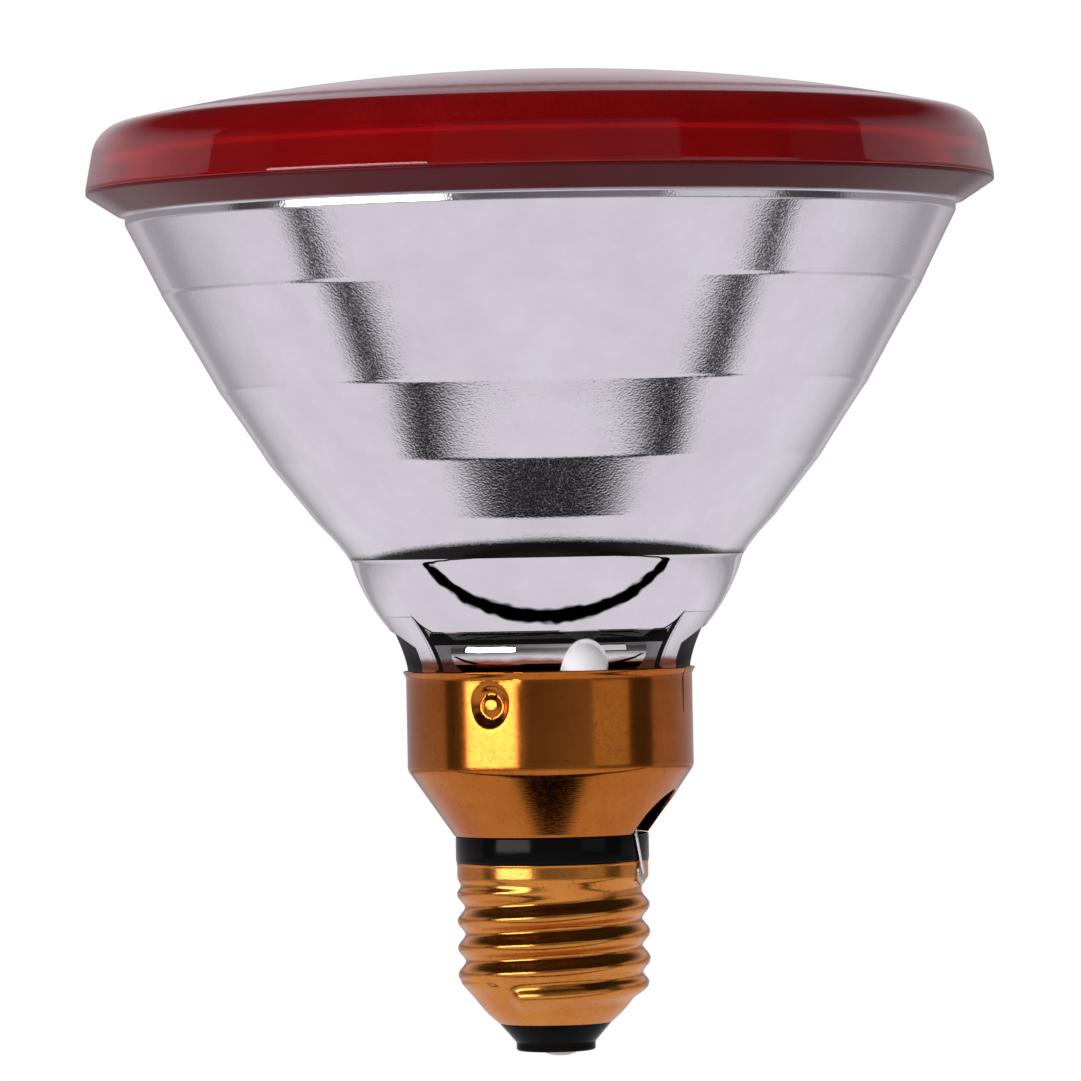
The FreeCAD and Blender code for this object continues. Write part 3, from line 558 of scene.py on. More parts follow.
# sizes of the painted shade and painted dark reflection on the neck and heel, in millimetres
shadeSizes = dict(
    grooveFoot=0.5, grooveHead=0.1, soft=0.1, sides=(11.5, 12.0), ribDepth=(0.5, 0.6),
    flankHalf=0.12, flankHead=0.5, recessHalf=(11.4, 11.5), recessOut=(16.85, 16.95),
    recessFoot=16.9, recessLean=0.7, recessRise=2.8, flankSoft=0.04, ribSoft=0.02,
    creaseDrop=0.1, creaseFray=0.3, creaseSwell=1.9, creaseTop=(0.1, 0.8), creaseFoot=0.02,
    creaseFront=(0.5, 1.0),
)


def bowlLevel(radius):
    return rimLevel + bowl["vertexRise"] + radius ** 2 / (4 * bowl["focalLength"])


heelLevel = bowlLevel(bowl["heelRadius"])
mouthLevel = bowlLevel(bowl["mouthRadius"])
landTop = mouthLevel - bowl["landDrop"] + bowl["landHeight"]


def bandLine(radii, inset, shares, hollows=(0,) * 5, tilts=(0,) * 5):
    # bands between points of the paraboloid, a hair hollow and tilted; inset is the wall, for the inner face
    def wallPoint(radius):
        slant = sqrt(radius ** 2 + 4 * bowl["focalLength"] ** 2)
        rise = 2 * inset * bowl["focalLength"] / slant
        return Vector((radius * (1 - inset / slant), bowlLevel(radius) + rise))

    line = []
    for low, high, hollow, tilt in zip(radii, radii[1:], hollows, tilts):
        start, end = wallPoint(low), wallPoint(high)
        run = end - start
        inwards = Vector((-run.y, run.x)).normalized()
        ease = bowl["bandRound"] / run.length
        for share in (ease, 3 * ease, *shares, 1 - 3 * ease, 1 - ease):
            push = 4 * hollow * share * (1 - share) + tilt * (1 - 2 * share)
            line.append(start.lerp(end, share) + inwards * push)
    return line


def bowlProfile():
    heel, mouth = bowl["heelRadius"], bowl["mouthRadius"]
    radii = [heel] + [heel + share * (mouth - heel) for share in bowl["bandShares"]] + [mouth]
    bore = bowl["neckRadius"] - bowl["neckWall"]
    under = rimLevel + bowl["heelUnder"]
    floor = under + bowl["heelThickness"]
    outerBands = bandLine(radii[1:], 0, (0.25, 0.5, 0.75), bowl["bandHollows"], bowl["bandTilts"])
    innerBands = bandLine(radii, bowl["wall"], (0.5,))
    hidden = roundedLine([
        (bore, under),
        (bore, neckBottom, bowl["neckEdge"]),
        (bowl["insertRadius"], neckBottom, bowl["insertEdge"]),
        (bowl["insertRadius"], rimLevel),
    ])
    rollTop = Vector((bowl["neckRadius"], rimLevel + bowl["rollRise"]))
    rollFoot = Vector((bowl["insertRadius"] + bowl["rollFoot"], rimLevel))
    roll = arcLine(rollFoot, rollTop, bowl["rollRound"], bowl["rollRows"])
    heelPoint = Vector((heel, heelLevel))
    lean = radians(bowl["heelLean"])
    easeTop = heelPoint + (outerBands[0] - heelPoint).normalized() * bowl["heelEase"]
    heelCorner = easeTop - Vector((sin(lean), cos(lean))) * bowl["heelEase"]
    shoulder = Vector((bowl["shoulderRadius"], rimLevel + bowl["shoulderRise"]))
    flare = arcLine(shoulder, heelCorner, bowl["flareRound"], bowl["flareRows"])
    underside = roundedLine([rollTop, (*shoulder, bowl["shoulderRound"]), flare[2]])[1:-1]
    heelTurn = roundedLine([
        flare[-3],
        (*heelCorner, bowl["heelEdge"]),
        (*easeTop, bowl["heelRound"]),
        outerBands[0] - (outerBands[1] - outerBands[0]).normalized() * 2 * bowl["bandRound"],
    ], bowl["heelRow"])[1:]
    neck = splitLong(roll + underside + flare[2:-2] + heelTurn, bowl["row"], closed=False)
    land = mouth - bowl["landDrop"] / 2
    flange = keepFlats(roundedLine([
        outerBands[-3],
        (land, mouthLevel - bowl["landDrop"], bowl["landRound"]),
        (land + bowl["landDraft"], landTop, bowl["landEdge"]),
        (mouth + bowl["flangeRoot"], mouthLevel + bowl["flangeRoot"], bowl["rootRound"]),
        (flangeRadius, seamLevel - bowl["flangeEdge"], bowl["flangeRound"]),
        (flangeRadius, seamLevel, bowl["flangeEdge"] / 4),
        (flangeRadius - bowl["seamWidth"], seamLevel, bowl["seamRound"]),
        innerBands[-1],
    ]))
    inside = [Vector((bowl["heelFloor"], floor)), Vector((0, floor)), Vector((0, under))]
    return hidden + neck + outerBands[:-3] + flange + list(reversed(innerBands[:-1])) + inside


def addGrid(builder, rows):
    # a closed block from rows of (outer, inner) points
    grid = [[(builder.verts.new(a * mm), builder.verts.new(b * mm)) for a, b in row] for row in rows]
    for low, high in zip(grid, grid[1:]):
        for near, far, farUp, nearUp in zip(low, low[1:], high[1:], high):
            for side in (0, 1):
                builder.faces.new((near[side], far[side], farUp[side], nearUp[side]))
        for end in (0, -1):
            builder.faces.new((*low[end], *reversed(high[end])))
    for row in (grid[0], grid[-1]):
        for near, far in zip(row, row[1:]):
            builder.faces.new((*near, *reversed(far)))


def addRib(builder, sideways, frontways):
    # a rib with flanks square to Y; its face runs on from the flare down to the cap's rim
    def facePoint(share, z):
        y = rib["near"] + (rib["far"] - rib["near"]) * (0.5 - 0.5 * cos(pi * share))
        inset = max(rib["edgeRound"] - min(y - rib["near"], rib["far"] - y), 0.0)
        cut = rib["edgeRound"] - sqrt(rib["edgeRound"] ** 2 - inset ** 2)
        climb = (z - rimLevel) / rib["height"]
        radius = rib["foot"] + (rib["top"] - rib["foot"]) * climb ** rib["bend"] - cut
        outer = Vector((sideways * sqrt(radius ** 2 - y ** 2), frontways * y, z))
        return outer, Vector((sideways * sqrt(rib["root"] ** 2 - y ** 2), frontways * y, z))

    levels = evenSteps(rimLevel + rib["lift"], rimLevel + rib["height"], rib["rows"])
    shares = evenSteps(0, 1, rib["columns"])
    addGrid(builder, [[facePoint(share, z) for share in shares] for z in levels])


def addBoss(builder, azimuth):
    # an egg-shaped swelling at the neck's foot
    out, aside = outAndAside(azimuth)
    middle = bowl["neckRadius"] + boss["reach"] - boss["width"] / 2
    for vertex in ballPoints(builder):
        reach = max(middle + vertex.co.x * boss["width"] / 2, boss["root"])
        across = vertex.co.y * boss["width"] / 2
        level = rimLevel + max(vertex.co.z * boss["rise"], boss["lift"])
        vertex.co = (out * reach + aside * across + Vector((0, 0, level))) * mm


def bandMask(value, low, high, soft):
    # 1 between two levels in millimetres, with soft ends
    return times(past(value, low, low + soft), past(value, high - soft, high, 1.0, 0.0))


def paintedShadeMask(x, y, z, specks):
    # painted shade and painted dark reflection, shaded as dark glass that is not metallic: a painted dark
    # band in the groove over the roll, on the ribs' flanks and in the recess beside each rib, and a painted
    # dark reflection along the heel's crease
    radius = axisDistance(x, y)
    out = addMath("ABSOLUTE", x)
    aside = addMath("ABSOLUTE", y)
    edge = bowl["shoulderRadius"]
    ribTop = rimLevel + rib["height"]
    grooveFoot = rimLevel + bowl["rollRise"] - shadeSizes["grooveFoot"]
    grooveHead = rimLevel + bowl["shoulderRise"] - shadeSizes["grooveHead"]
    inGroove = bandMask(z, grooveFoot, grooveHead, shadeSizes["soft"])
    groove = times(inGroove, past(radius, edge - shadeSizes["soft"], edge, 1.0, 0.0))
    onSides = past(out, *shadeSizes["sides"])
    climb = addMath("POWER", past(z, rimLevel, ribTop), rib["bend"])
    ribFace = addRange(climb, 0.0, 1.0, rib["foot"] * mm, rib["top"] * mm)
    flank = times(
        bandMask(aside, rib["far"] - shadeSizes["flankHalf"], rib["far"] + shadeSizes["flankHalf"], shadeSizes["flankSoft"]),
        past(z, ribTop, ribTop + shadeSizes["flankHead"], 1.0, 0.0),
        past(minus(ribFace, radius), *shadeSizes["ribDepth"], 1.0, 0.0),
        onSides,
    )
    onRibs = times(onSides, bandMask(aside, rib["near"], rib["far"], shadeSizes["ribSoft"]))
    sideEdge = times(minus(out, shadeSizes["recessFoot"] * mm), shadeSizes["recessLean"])
    underEdge = minus(plus(sideEdge, (rimLevel + shadeSizes["recessRise"]) * mm), z)
    recess = times(
        past(aside, *shadeSizes["recessHalf"], 1.0, 0.0),
        past(out, *shadeSizes["recessOut"]),
        past(underEdge, 0.0, shadeSizes["soft"]),
    )
    creaseLevel = heelLevel - shadeSizes["creaseDrop"]
    fray = shadeSizes["creaseFray"] * mm
    fuzzy = plus(z, addRange(specks, *turning["speckSpan"], -fray, fray))
    frontShare = addMath("DIVIDE", aside, radius)
    swell = addRange(frontShare, *shadeSizes["creaseFront"], 0.0, shadeSizes["creaseSwell"] * mm)
    low, high = (creaseLevel + rise for rise in shadeSizes["creaseTop"])
    underTop = past(minus(fuzzy, swell), low, high, 1.0, 0.0)
    crease = times(past(z, creaseLevel - shadeSizes["creaseFoot"], creaseLevel), underTop)
    return addAll("MAXIMUM", [times(groove, opposite(onRibs)), flank, recess, crease])


def bossHighlightMask(x, y, z):
    # the two swellings of the neck get a painted highlight: white, not metallic and rougher
    directions = outAndAside(boss["azimuths"][0])
    outwards, across = (plus(times(x, way.x), times(y, way.y)) for way in directions)
    sideShare = addMath("DIVIDE", across, boss["width"] / 2 * mm)
    riseShare = addMath("DIVIDE", minus(z, rimLevel * mm), boss["rise"] * mm)
    away = plus(times(sideShare, sideShare), times(riseShare, riseShare))
    reach = addMath("ABSOLUTE", outwards)
    onFront = past(reach, boss["front"], boss["front"] + boss["frontSoft"])
    return times(onFront, addRange(away, *boss["edge"], 1.0, 0.0))


def makeSilver():
    material, tree, shader = newMaterial("silveredGlass")
    marks = placeMarks(tree, silver["speckle"])
    x, y, z = splitAxes(objectPlace(tree))
    inFlange = heightMask(tree, landTop, landTop + silver["flangeSoft"])
    onBands = heightMask(tree, *(heelLevel + rise for rise in silver["heelSoft"]))
    paintedShadeHere = paintedShadeMask(x, y, z, marks["Speckles"])
    bossHighlight = bossHighlightMask(x, y, z)
    clouds = addRange(marks["Clouds"], *silver["cloudSpan"])
    colour = addMix(clouds, silver["colour"], silver["shade"])
    # the flange above the land is painted dark red: painted red light from the lens seen through the flange
    # glass
    colour = addMix(inFlange, colour, silver["flangePaintedRed"])
    # painted reflection of the brass collar's rim on the neck's lower roll, with a ragged top
    brassReflectionLevel = plus(z, times(clouds, silver["brassReflectionFray"] * mm))
    low, high = (rimLevel + rise for rise in silver["brassReflectionReach"])
    colour = addMix(past(brassReflectionLevel, low, high, 1.0, 0.0), colour, silver["paintedBrassReflection"])
    # painted shade and painted dark reflection on the neck and heel
    colour = addMix(paintedShadeHere, colour, silver["paintedShadeColour"])
    silvered = opposite(addAll("MAXIMUM", [inFlange, paintedShadeHere, bossHighlight]))
    bandRough = addRange(marks["Speckles"], *silver["cloudSpan"], *silver["roughness"])
    rough = plus(times(bandRough, onBands), silver["neckRough"])
    # the swellings' white Base Color is a painted highlight
    feed(shader, {
        "Base Color": addMix(bossHighlight, colour, silver["paintedBossHighlight"]), "Metallic": silvered,
        "Roughness": plus(rough, times(bossHighlight, silver["bossHighlightRough"])),
        "Specular IOR Level": silver["specular"], "Coat Weight": times(silvered, silver["coat"]),
        "Coat Roughness": silver["coatRough"],
    })
    wobble = times(addNoise(objectPlace(tree), silver["wobbleScale"], 1.0), silver["wobble"])
    below = times(wobble, opposite(onBands))
    grain = times(addNoise(objectPlace(tree), silver["grainScale"], 1.5), onBands)
    addBump(plus(grain, below), silver["bump"], silver["bumpDepth"], shader)
    return material


def makeBowl():
    piece = turnedPiece("reflectorBowl", bowlProfile(), bowl["steps"])
    builder = bmesh.new()
    for sideways in (1, -1):
        for frontways in (1, -1):
            addRib(builder, sideways, frontways)
    for azimuth in boss["azimuths"]:
        addBoss(builder, azimuth)
    bmesh.ops.remove_doubles(builder, verts=builder.verts, dist=1e-7)
    joinOrCut(piece, finishMesh("ribs", builder), "UNION")
    smoothMesh(piece.data, bowl["sharpAngle"])
    dress(piece, makeSilver(), "silvered_glass", "reflector_bowl")


makeBowl()


# Brass collar and skirt

collar = dict(
    radius=19.3, mouthRadius=13.2, coneHeight=8.9, foldRound=1.5, wall=0.3, row=0.48,
    flare=0.5, flareHeight=0.9, flareRound=1.0, lipRound=0.12, steps=640,
    dimpleAzimuths=(-24.5, 95.5, 215.5), dimpleDrop=4.5, dimpleWall=(1.7, 2.95), dimpleDepth=0.8,
    buttonWall=(0.9, 1.6), buttonRise=0.3, cutReach=(6, 24), overcut=1, sharpAngle=40,
    slotAzimuth=77.0, slotWidth=10.4, slotHeight=6.0, slotCrown=4.0, slotSteps=24,
    slitAzimuth=68.0, slitWidth=0.6, slitDepth=6.0, slitTaper=0.4,
    crimpAzimuth=-14.0, crimpWidth=4.0, crimpDepth=0.22, crimpHeight=1.6,
)
collarBrass = makeBrass("collarBrass", dict(
    pitch=5200, speckle=1500, tarnish=0.5, roughness=(0.12, 0.19), bump=0.1,
    bright=(0.52, 0.165, 0.026), warm=(0.44, 0.12, 0.018), dark=(0.16, 0.045, 0.01),
    dullBelow=(skirtBottom + 7.5, skirtBottom + 9.5), dull=-0.06,
))


def collarShape(angle, r, z):
    # dimples pressed in from outside, and a small crimp in the rim
    push = 0.0
    for azimuth in collar["dimpleAzimuths"]:
        across = radians(azimuthGap(angle, azimuth)) * collar["radius"]
        away = hypot(across, z - (rimLevel - collar["dimpleDrop"]))
        if away < collar["dimpleWall"][1]:
            wall = easeStep(away, *collar["dimpleWall"])
            button = easeStep(away, *collar["buttonWall"])
            push = collar["dimpleDepth"] * (1 - wall) - collar["buttonRise"] * (1 - button)
    offCrimp = abs(azimuthGap(angle, collar["crimpAzimuth"]))
    nearRim = easeStep(z, rimLevel - collar["crimpHeight"], rimLevel)
    push += collar["crimpDepth"] * nearRim * (1 - easeStep(offCrimp, 0.0, collar["crimpWidth"]))
    return r - push, z


def cutPrism(piece, outline, azimuth):
    # cuts an upright prism, whose outline is (across, z) in millimetres, out to one side
    out, aside = outAndAside(azimuth)
    builder = bmesh.new()
    near, far = [[builder.verts.new((aside * across + out * reach + Vector((0, 0, z))) * mm)
                  for across, z in outline] for reach in collar["cutReach"]]
    builder.faces.new(near)
    builder.faces.new(list(reversed(far)))
    for index in range(len(outline)):
        ahead = (index + 1) % len(outline)
        builder.faces.new((near[index], far[index], far[ahead], near[ahead]))
    joinOrCut(piece, finishMesh("cutter", builder), "DIFFERENCE")


def makeCollar():
    radius, mouth, lip = (collar[key] for key in ("radius", "mouthRadius", "lipRound"))
    fold = skirtBottom + collar["coneHeight"]
    lean = atan((radius - mouth) / collar["coneHeight"])
    across = collar["wall"] / cos(lean)
    bore = radius - collar["wall"]
    boreFold = skirtBottom + (bore - mouth + across) / tan(lean)
    flareStart = rimLevel - collar["flareHeight"]
    profile = roundedLine([
        (mouth, skirtBottom, lip),
        (radius, fold, collar["foldRound"]),
        (radius, flareStart, collar["flareRound"]),
        (radius + collar["flare"], rimLevel, lip),
        (bore + collar["flare"], rimLevel, lip),
        (bore, flareStart, collar["flareRound"]),
        (bore, boreFold, collar["foldRound"]),
        (mouth - across, skirtBottom, lip),
    ])
    piece = turnedPiece("skirtCollar", splitLong(profile, collar["row"]), collar["steps"], collarShape)
    half = collar["slotWidth"] / 2
    foot = skirtBottom - collar["overcut"]
    shoulder = skirtBottom + collar["slotHeight"] - collar["slotCrown"]
    turns = evenSteps(0, pi, collar["slotSteps"])
    arch = [(half * cos(turn), shoulder + collar["slotCrown"] * sin(turn)) for turn in turns]
    cutPrism(piece, [(-half, foot), (half, foot)] + arch, collar["slotAzimuth"])
    wide = collar["slitWidth"] / 2
    narrow = wide * collar["slitTaper"]
    low, high = rimLevel - collar["slitDepth"], rimLevel + collar["overcut"]
    cutPrism(piece, [(-narrow, low), (narrow, low), (wide, high), (-wide, high)], collar["slitAzimuth"])
    smoothMesh(piece.data, collar["sharpAngle"])
    dress(piece, collarBrass, "cap_brass", "skirt_collar")


makeCollar()


# Screw shell with its rolled thread

shell = dict(
    mouthRadius=7.6, shoulderHeight=5.5, shoulderCurve=15.0, noseRows=14, rootRadius=11.95,
    crestRadius=12.98, bandHeight=3.6, bandTaper=1.3, bandFoot=1.2, bandRound=1.0,
    rimRadius=12.9, wall=0.35, lipReach=0.08, lipHeight=0.4, lipDraft=0.06,
    lipFoot=0.1, lipRound=0.15, lipEdge=0.1, sharpAngle=45,
    pitch=3.629, turns=4.26, startHeight=3.55, startAzimuth=-35.0, runIn=0.035, runOut=0.3,
    crestShape=0.85, fill=0.7, fillStart=(0.4, 0.6), fillRise=(-1.0, -0.1),
    roomEase=(0.2, 0.4), steps=360, row=0.22,
)
shellBrass = makeBrass("shellBrass", dict(
    pitch=5200, speckle=1700, tarnish=0.45, roughness=(0.14, 0.26), bump=0.2,
    bright=(0.7, 0.275, 0.055), warm=(0.61, 0.21, 0.038), dark=(0.2, 0.06, 0.015),
    dullBelow=(shellBottom + 3.0, shellBottom + 5.0), dull=0.1,
))


def threadLift(angle, z):
    # how far the rolled ridge stands up here, from 0 in the root to 1 on the crest
    turn = ((azimuthOf(angle) - shell["startAzimuth"]) % 360) / 360
    climb = (z - shellBottom - shell["startHeight"]) / shell["pitch"] - turn
    crest = round(climb)
    along = crest + turn
    ridge = (0.5 + 0.5 * cos(2 * pi * (climb - crest))) ** shell["crestShape"]
    runOut = 1 - easeStep(along, shell["turns"] - shell["runOut"], shell["turns"])
    lift = ridge * easeStep(along, 0.0, shell["runIn"]) * runOut
    # under the first turn the wall stays out until the groove starts
    filled = easeStep(turn, *shell["fillStart"]) * (1 - easeStep(turn, 1 - shell["runIn"], 1.0))
    return max(lift, shell["fill"] * filled * easeStep(climb, *shell["fillRise"]) * (climb < 0))


def shellShape(angle, r, z):
    before, after = shell["roomEase"]
    bandFoot = shell["bandHeight"] - shell["bandTaper"] - before
    room = easeStep(shellTop - z, bandFoot, shell["bandHeight"] + after)
    return r + threadLift(angle, z) * room * (shell["crestRadius"] - shell["rootRadius"]), z


def makeShell():
    root, rim = shell["rootRadius"], shell["rimRadius"]
    shoulder = shellBottom + shell["shoulderHeight"]
    band = shellTop - shell["bandHeight"]
    lip = rim + shell["lipReach"]
    nose = arcLine(Vector((shell["mouthRadius"], shellBottom)), Vector((root, shoulder)),
                   shell["shoulderCurve"], shell["noseRows"])
    outer = nose + roundedLine([
        nose[-1],
        (root, band, shell["bandFoot"]),
        (rim, band + shell["bandTaper"], shell["bandRound"]),
        (rim, shellTop - shell["lipHeight"], shell["lipFoot"]),
        (lip, shellTop - shell["lipHeight"] / 2, shell["lipRound"]),
        (lip - shell["lipDraft"], shellTop, shell["lipEdge"]),
        (rim - shell["wall"], shellTop),
    ])[1:-1]
    inner = [Vector((point.x - shell["wall"], point.y)) for point in reversed(outer)]
    profile = splitLong(outer + inner, shell["row"])
    piece = turnedPiece("screwShell", profile, shell["steps"], shellShape, shell["sharpAngle"])
    dress(piece, shellBrass, "cap_brass", "screw_shell")


makeShell()


# Black ring, black tip and solder

black = dict(colour=(0.003, 0.0025, 0.003), shade=(0.005, 0.0045, 0.005), metallic=0.0)
blackGlass = makeSmooth("blackGlass", dict(
    black, speckle=1800, roughness=(0.1, 0.2), bump=0.06, specular=0.06,
))
blackRing = makeSmooth("blackRing", dict(
    black, speckle=1600, roughness=(0.08, 0.16), bump=0.08, specular=0.08,
))
solderMetal = makeSmooth("solderMetal", dict(
    speckle=900, colour=(0.66, 0.60, 0.52), shade=(0.46, 0.38, 0.29),
    roughness=(0.2, 0.42), metallic=1.0, bump=0.5,
))
brightWire = makeSmooth("brightWire", dict(
    speckle=1200, colour=(0.90, 0.90, 0.91), shade=(0.78, 0.78, 0.80),
    roughness=(0.16, 0.32), metallic=1.0, bump=0.1,
))
ring = dict(overhang=13.04, spigot=12.47, bore=8.5, spigotHeight=2.2, round=0.25, row=0.1, steps=256)
tip = dict(
    lipRadius=5.35, lipHeight=1.15, coneTop=7.6, plug=7.17, plugHeight=2.5, hole=1.4,
    recess=4.28, recessDepth=0.4, recessRound=0.15, round=0.35, lipRound=0.5, coneRound=0.1,
    row=0.1, steps=192,
)
tipDrop = dict(ripple=0.06, waves=3, phase=0.7, shrink=0.4, steps=64, rows=12, rimKept=0.1)
sideDrop = dict(
    ripple=0.07, waves=5, skew=2, sink=0.35, reach=0.55, blunt=0.7, half=0.95, sharpAngle=60,
)


def makeRing():
    spigotBottom = shellTop - ring["spigotHeight"]
    profile = roundedLine([
        (ring["bore"], spigotBottom),
        (ring["spigot"], spigotBottom),
        (ring["spigot"], shellTop),
        (ring["overhang"], shellTop, ring["round"]),
        (ring["overhang"], skirtBottom, ring["round"]),
        (ring["bore"], skirtBottom),
    ], ring["row"])
    dress(turnedPiece("insulatorRing", profile, ring["steps"]), blackRing, "black_ring", "insulator_ring")


def makeTip():
    plugTop = shellBottom + tip["plugHeight"]
    recessLevel = tipFace + tip["recessDepth"]
    profile = roundedLine([
        (tip["hole"], recessLevel),
        (tip["recess"], recessLevel),
        (tip["recess"], tipFace, tip["recessRound"]),
        (tip["lipRadius"], tipFace, tip["round"]),
        (tip["lipRadius"], tipFace + tip["lipHeight"], tip["lipRound"]),
        (tip["coneTop"], shellBottom, tip["coneRound"]),
        (tip["plug"], shellBottom),
        (tip["plug"], plugTop),
        (tip["hole"], plugTop),
    ], tip["row"])
    dress(turnedPiece("tipInsulator", profile, tip["steps"]), blackGlass, "black_tip", "tip_insulator")


def makeTipSolder():
    low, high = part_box("tip_solder")
    middle = (low + high) / 2
    rise = solderTop - solderBottom

    def ripple(angle, r, z):
        swing = 0.5 + 0.5 * sin(tipDrop["waves"] * angle + tipDrop["phase"])
        wave = tipDrop["ripple"] * swing * sin(pi * r / solderRadius)
        return r * (1 - wave * tipDrop["shrink"]), z + wave * (z < solderTop - tipDrop["rimKept"])

    turns = evenSteps(0, pi / 2, tipDrop["rows"])
    dome = [Vector((solderRadius * sin(turn), solderTop - rise * cos(turn))) for turn in turns]
    piece = turnedPiece("tipSolder", dome + [Vector((0, solderTop))], tipDrop["steps"], ripple)
    for vertex in piece.data.vertices:
        vertex.co.xy += middle.xy
    dress(piece, solderMetal, "solder", "tip_solder")


def makeSideSolder():
    # a drop that hugs the shell's band and holds the wire's end
    low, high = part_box("side_solder")
    middle = (low + high) / 2 / mm
    out, aside = outAndAside(degrees(atan2(middle.x, -middle.y)))
    halfHeight = (high.z - low.z) / 2 / mm
    builder = bmesh.new()
    for vertex in ballPoints(builder):
        wave = sin(sideDrop["waves"] * vertex.co.z + sideDrop["skew"] * vertex.co.y)
        lump = 1 - sideDrop["ripple"] * (1 + wave) / 2
        blunt = [copysign(abs(part) ** sideDrop["blunt"], part) * lump for part in vertex.co]
        across = blunt[1] * sideDrop["half"]
        surface = sqrt(shell["rimRadius"] ** 2 - across ** 2)
        reach = surface + (sideDrop["reach"] if blunt[0] > 0 else sideDrop["sink"]) * blunt[0]
        rise = middle.z + blunt[2] * halfHeight
        vertex.co = (out * reach + aside * across + Vector((0, 0, rise))) * mm
    piece = finishMesh("sideSolder", builder, sideDrop["sharpAngle"])
    dress(piece, solderMetal, "solder", "side_solder")


makeRing()
makeTip()
makeTipSolder()
makeSideSolder()


# Filament: a wound coil between the two posts

coil = dict(turns=26.0, wire=0.14, stepsPerTurn=20, sides=8, sharpAngle=60)


def makeCoilTree(start):
    tree, ids, given = startTree("woundCoil", "Turns", "Radius", "Wire", "Length")
    spiral = addNode(tree, "GeometryNodeCurveSpiral", {
        "Resolution": coil["stepsPerTurn"], "Rotations": given["Turns"], "Start Radius": given["Radius"],
        "End Radius": given["Radius"], "Height": given["Length"],
    })
    section = addNode(tree, "GeometryNodeCurvePrimitiveCircle", {
        "Resolution": coil["sides"], "Radius": given["Wire"],
    })
    tube = addNode(tree, "GeometryNodeCurveToMesh", {
        "Fill Caps": True, "Curve": spiral.outputs["Curve"], "Profile Curve": section.outputs["Curve"],
    })
    place = addNode(tree, "GeometryNodeTransform", {"Geometry": tube.outputs["Mesh"]})
    place.inputs["Translation"].default_value = start
    place.inputs["Rotation"].default_value = (0, radians(90), 0)
    endTree(place.outputs["Geometry"], given)
    return tree, ids


def makeCoil():
    low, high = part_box("filament")
    middle = (low + high) / 2
    wire = coil["wire"] * mm
    piece = finishMesh("filamentCoil", bmesh.new())
    runTree(piece, *makeCoilTree((low.x + wire, middle.y, middle.z)), {
        "Turns": coil["turns"], "Radius": (high.z - low.z) / 2 - wire, "Wire": wire,
        "Length": high.x - low.x - 2 * wire, "Material": brightWire,
    })
    smoothMesh(piece.data, coil["sharpAngle"])
    dress(piece, brightWire, "filament_wire", "filament")


makeCoil()


# Looks of the CAD nodes that stay

clearGlass = makeSmooth("clearGlass", dict(
    speckle=900, colour=(0.93, 0.95, 0.94), shade=(0.88, 0.92, 0.91),
    roughness=(0.02, 0.08), metallic=0.0, transmission=1.0, bump=0.03,
))
keptNodes = {"centre_contact": shellBrass, "bridge_bead": clearGlass, "exhaust_tube": clearGlass}
wires = ("side_lead", "centre_lead", "ferrule_left", "ferrule_right", "support_hook",
         "lead_post_left", "lead_post_right")
for node in (*keptNodes, *wires):
    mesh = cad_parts[node].data
    mesh.materials.clear()
    mesh.materials.append(keptNodes.get(node, brightWire))
print("kept nodes dressed")


# Stage: floor, surroundings that only gloss can see, lights and camera

stage = dict(
    floorLevel=-0.13, floorHalf=1.15, floorColour=(0.9, 0.9, 0.9), floorShade=(0.87, 0.87, 0.87),
    floorRough=0.9, mottle=9.0, mottleSpan=(0.35, 0.65), cardReach=1.5,
    tableLevel=-0.128, tableGlow=(0.80, 0.765, 0.82), tableFade=(0.42, 0.85, 1.0, 0.5),
    gapLevel=-0.125, gapMiddle=-0.083, gapReach=0.025, gapCore=0.017, gapHalf=0.7,
    wallDistance=1.3, wallFoot=-0.127, wallHead=1.0, wallStep=6, roofGlow=0.03, fill=0.45,
    walls=(  # from and to azimuth, and the glow at each
        (-180, -92, 0.46, 0.46), (-92, -72, 0.08, 0.08), (-72, -27, 0.04, 0.04), (-27, 36, 0.12, 0.3),
        (36, 67, 0.04, 0.04), (67, 90, 0.09, 0.09), (90, 180, 0.46, 0.46),
    ),
    wallTint=(1.04, 0.95, 1.03),
    wallGains=(  # from and to height, and the gain at each
        (-0.127, -0.02, 1.4, 1.0), (0.0, 0.1, 1.0, 0.7), (0.2, 0.32, 1.0, 2.05), (0.45, 0.85, 1.0, 0.06),
    ),
)
keyBox = dict(azimuths=(-70, -27), heights=(-0.03, 0.30), distance=1.1, radiance=7.0)
fillBox = dict(azimuths=(35, 66), heights=(-0.03, 0.30), distance=1.1, radiance=0.65)
camera = dict(
    distance=0.95, height=0.0695, aside=-0.00081, roll=1.1,
    focus=7040.0, image=1081.0, sensor=36.0,
)


def makeStagePiece(name, corners, faces, material, glossOnly=True):
    mesh = bpy.data.meshes.new(name)
    mesh.from_pydata(corners, [], faces)
    mesh.materials.append(material)
    card = addObject(name, mesh)
    if glossOnly:
        for ray in ("camera", "diffuse", "shadow", "transmission"):
            setattr(card, "visible_" + ray, False)


def makeGlow(name, colour, strengthAt=None):
    # strengthAt gives the glow's strength at a place, where it isn't even
    material, tree, shader = newMaterial(name)
    feed(shader, {
        "Base Color": (0, 0, 0), "Specular IOR Level": 0.0, "Emission Color": colour,
        "Emission Strength": strengthAt(objectPlace(tree)) if strengthAt else 1.0,
    })
    return material


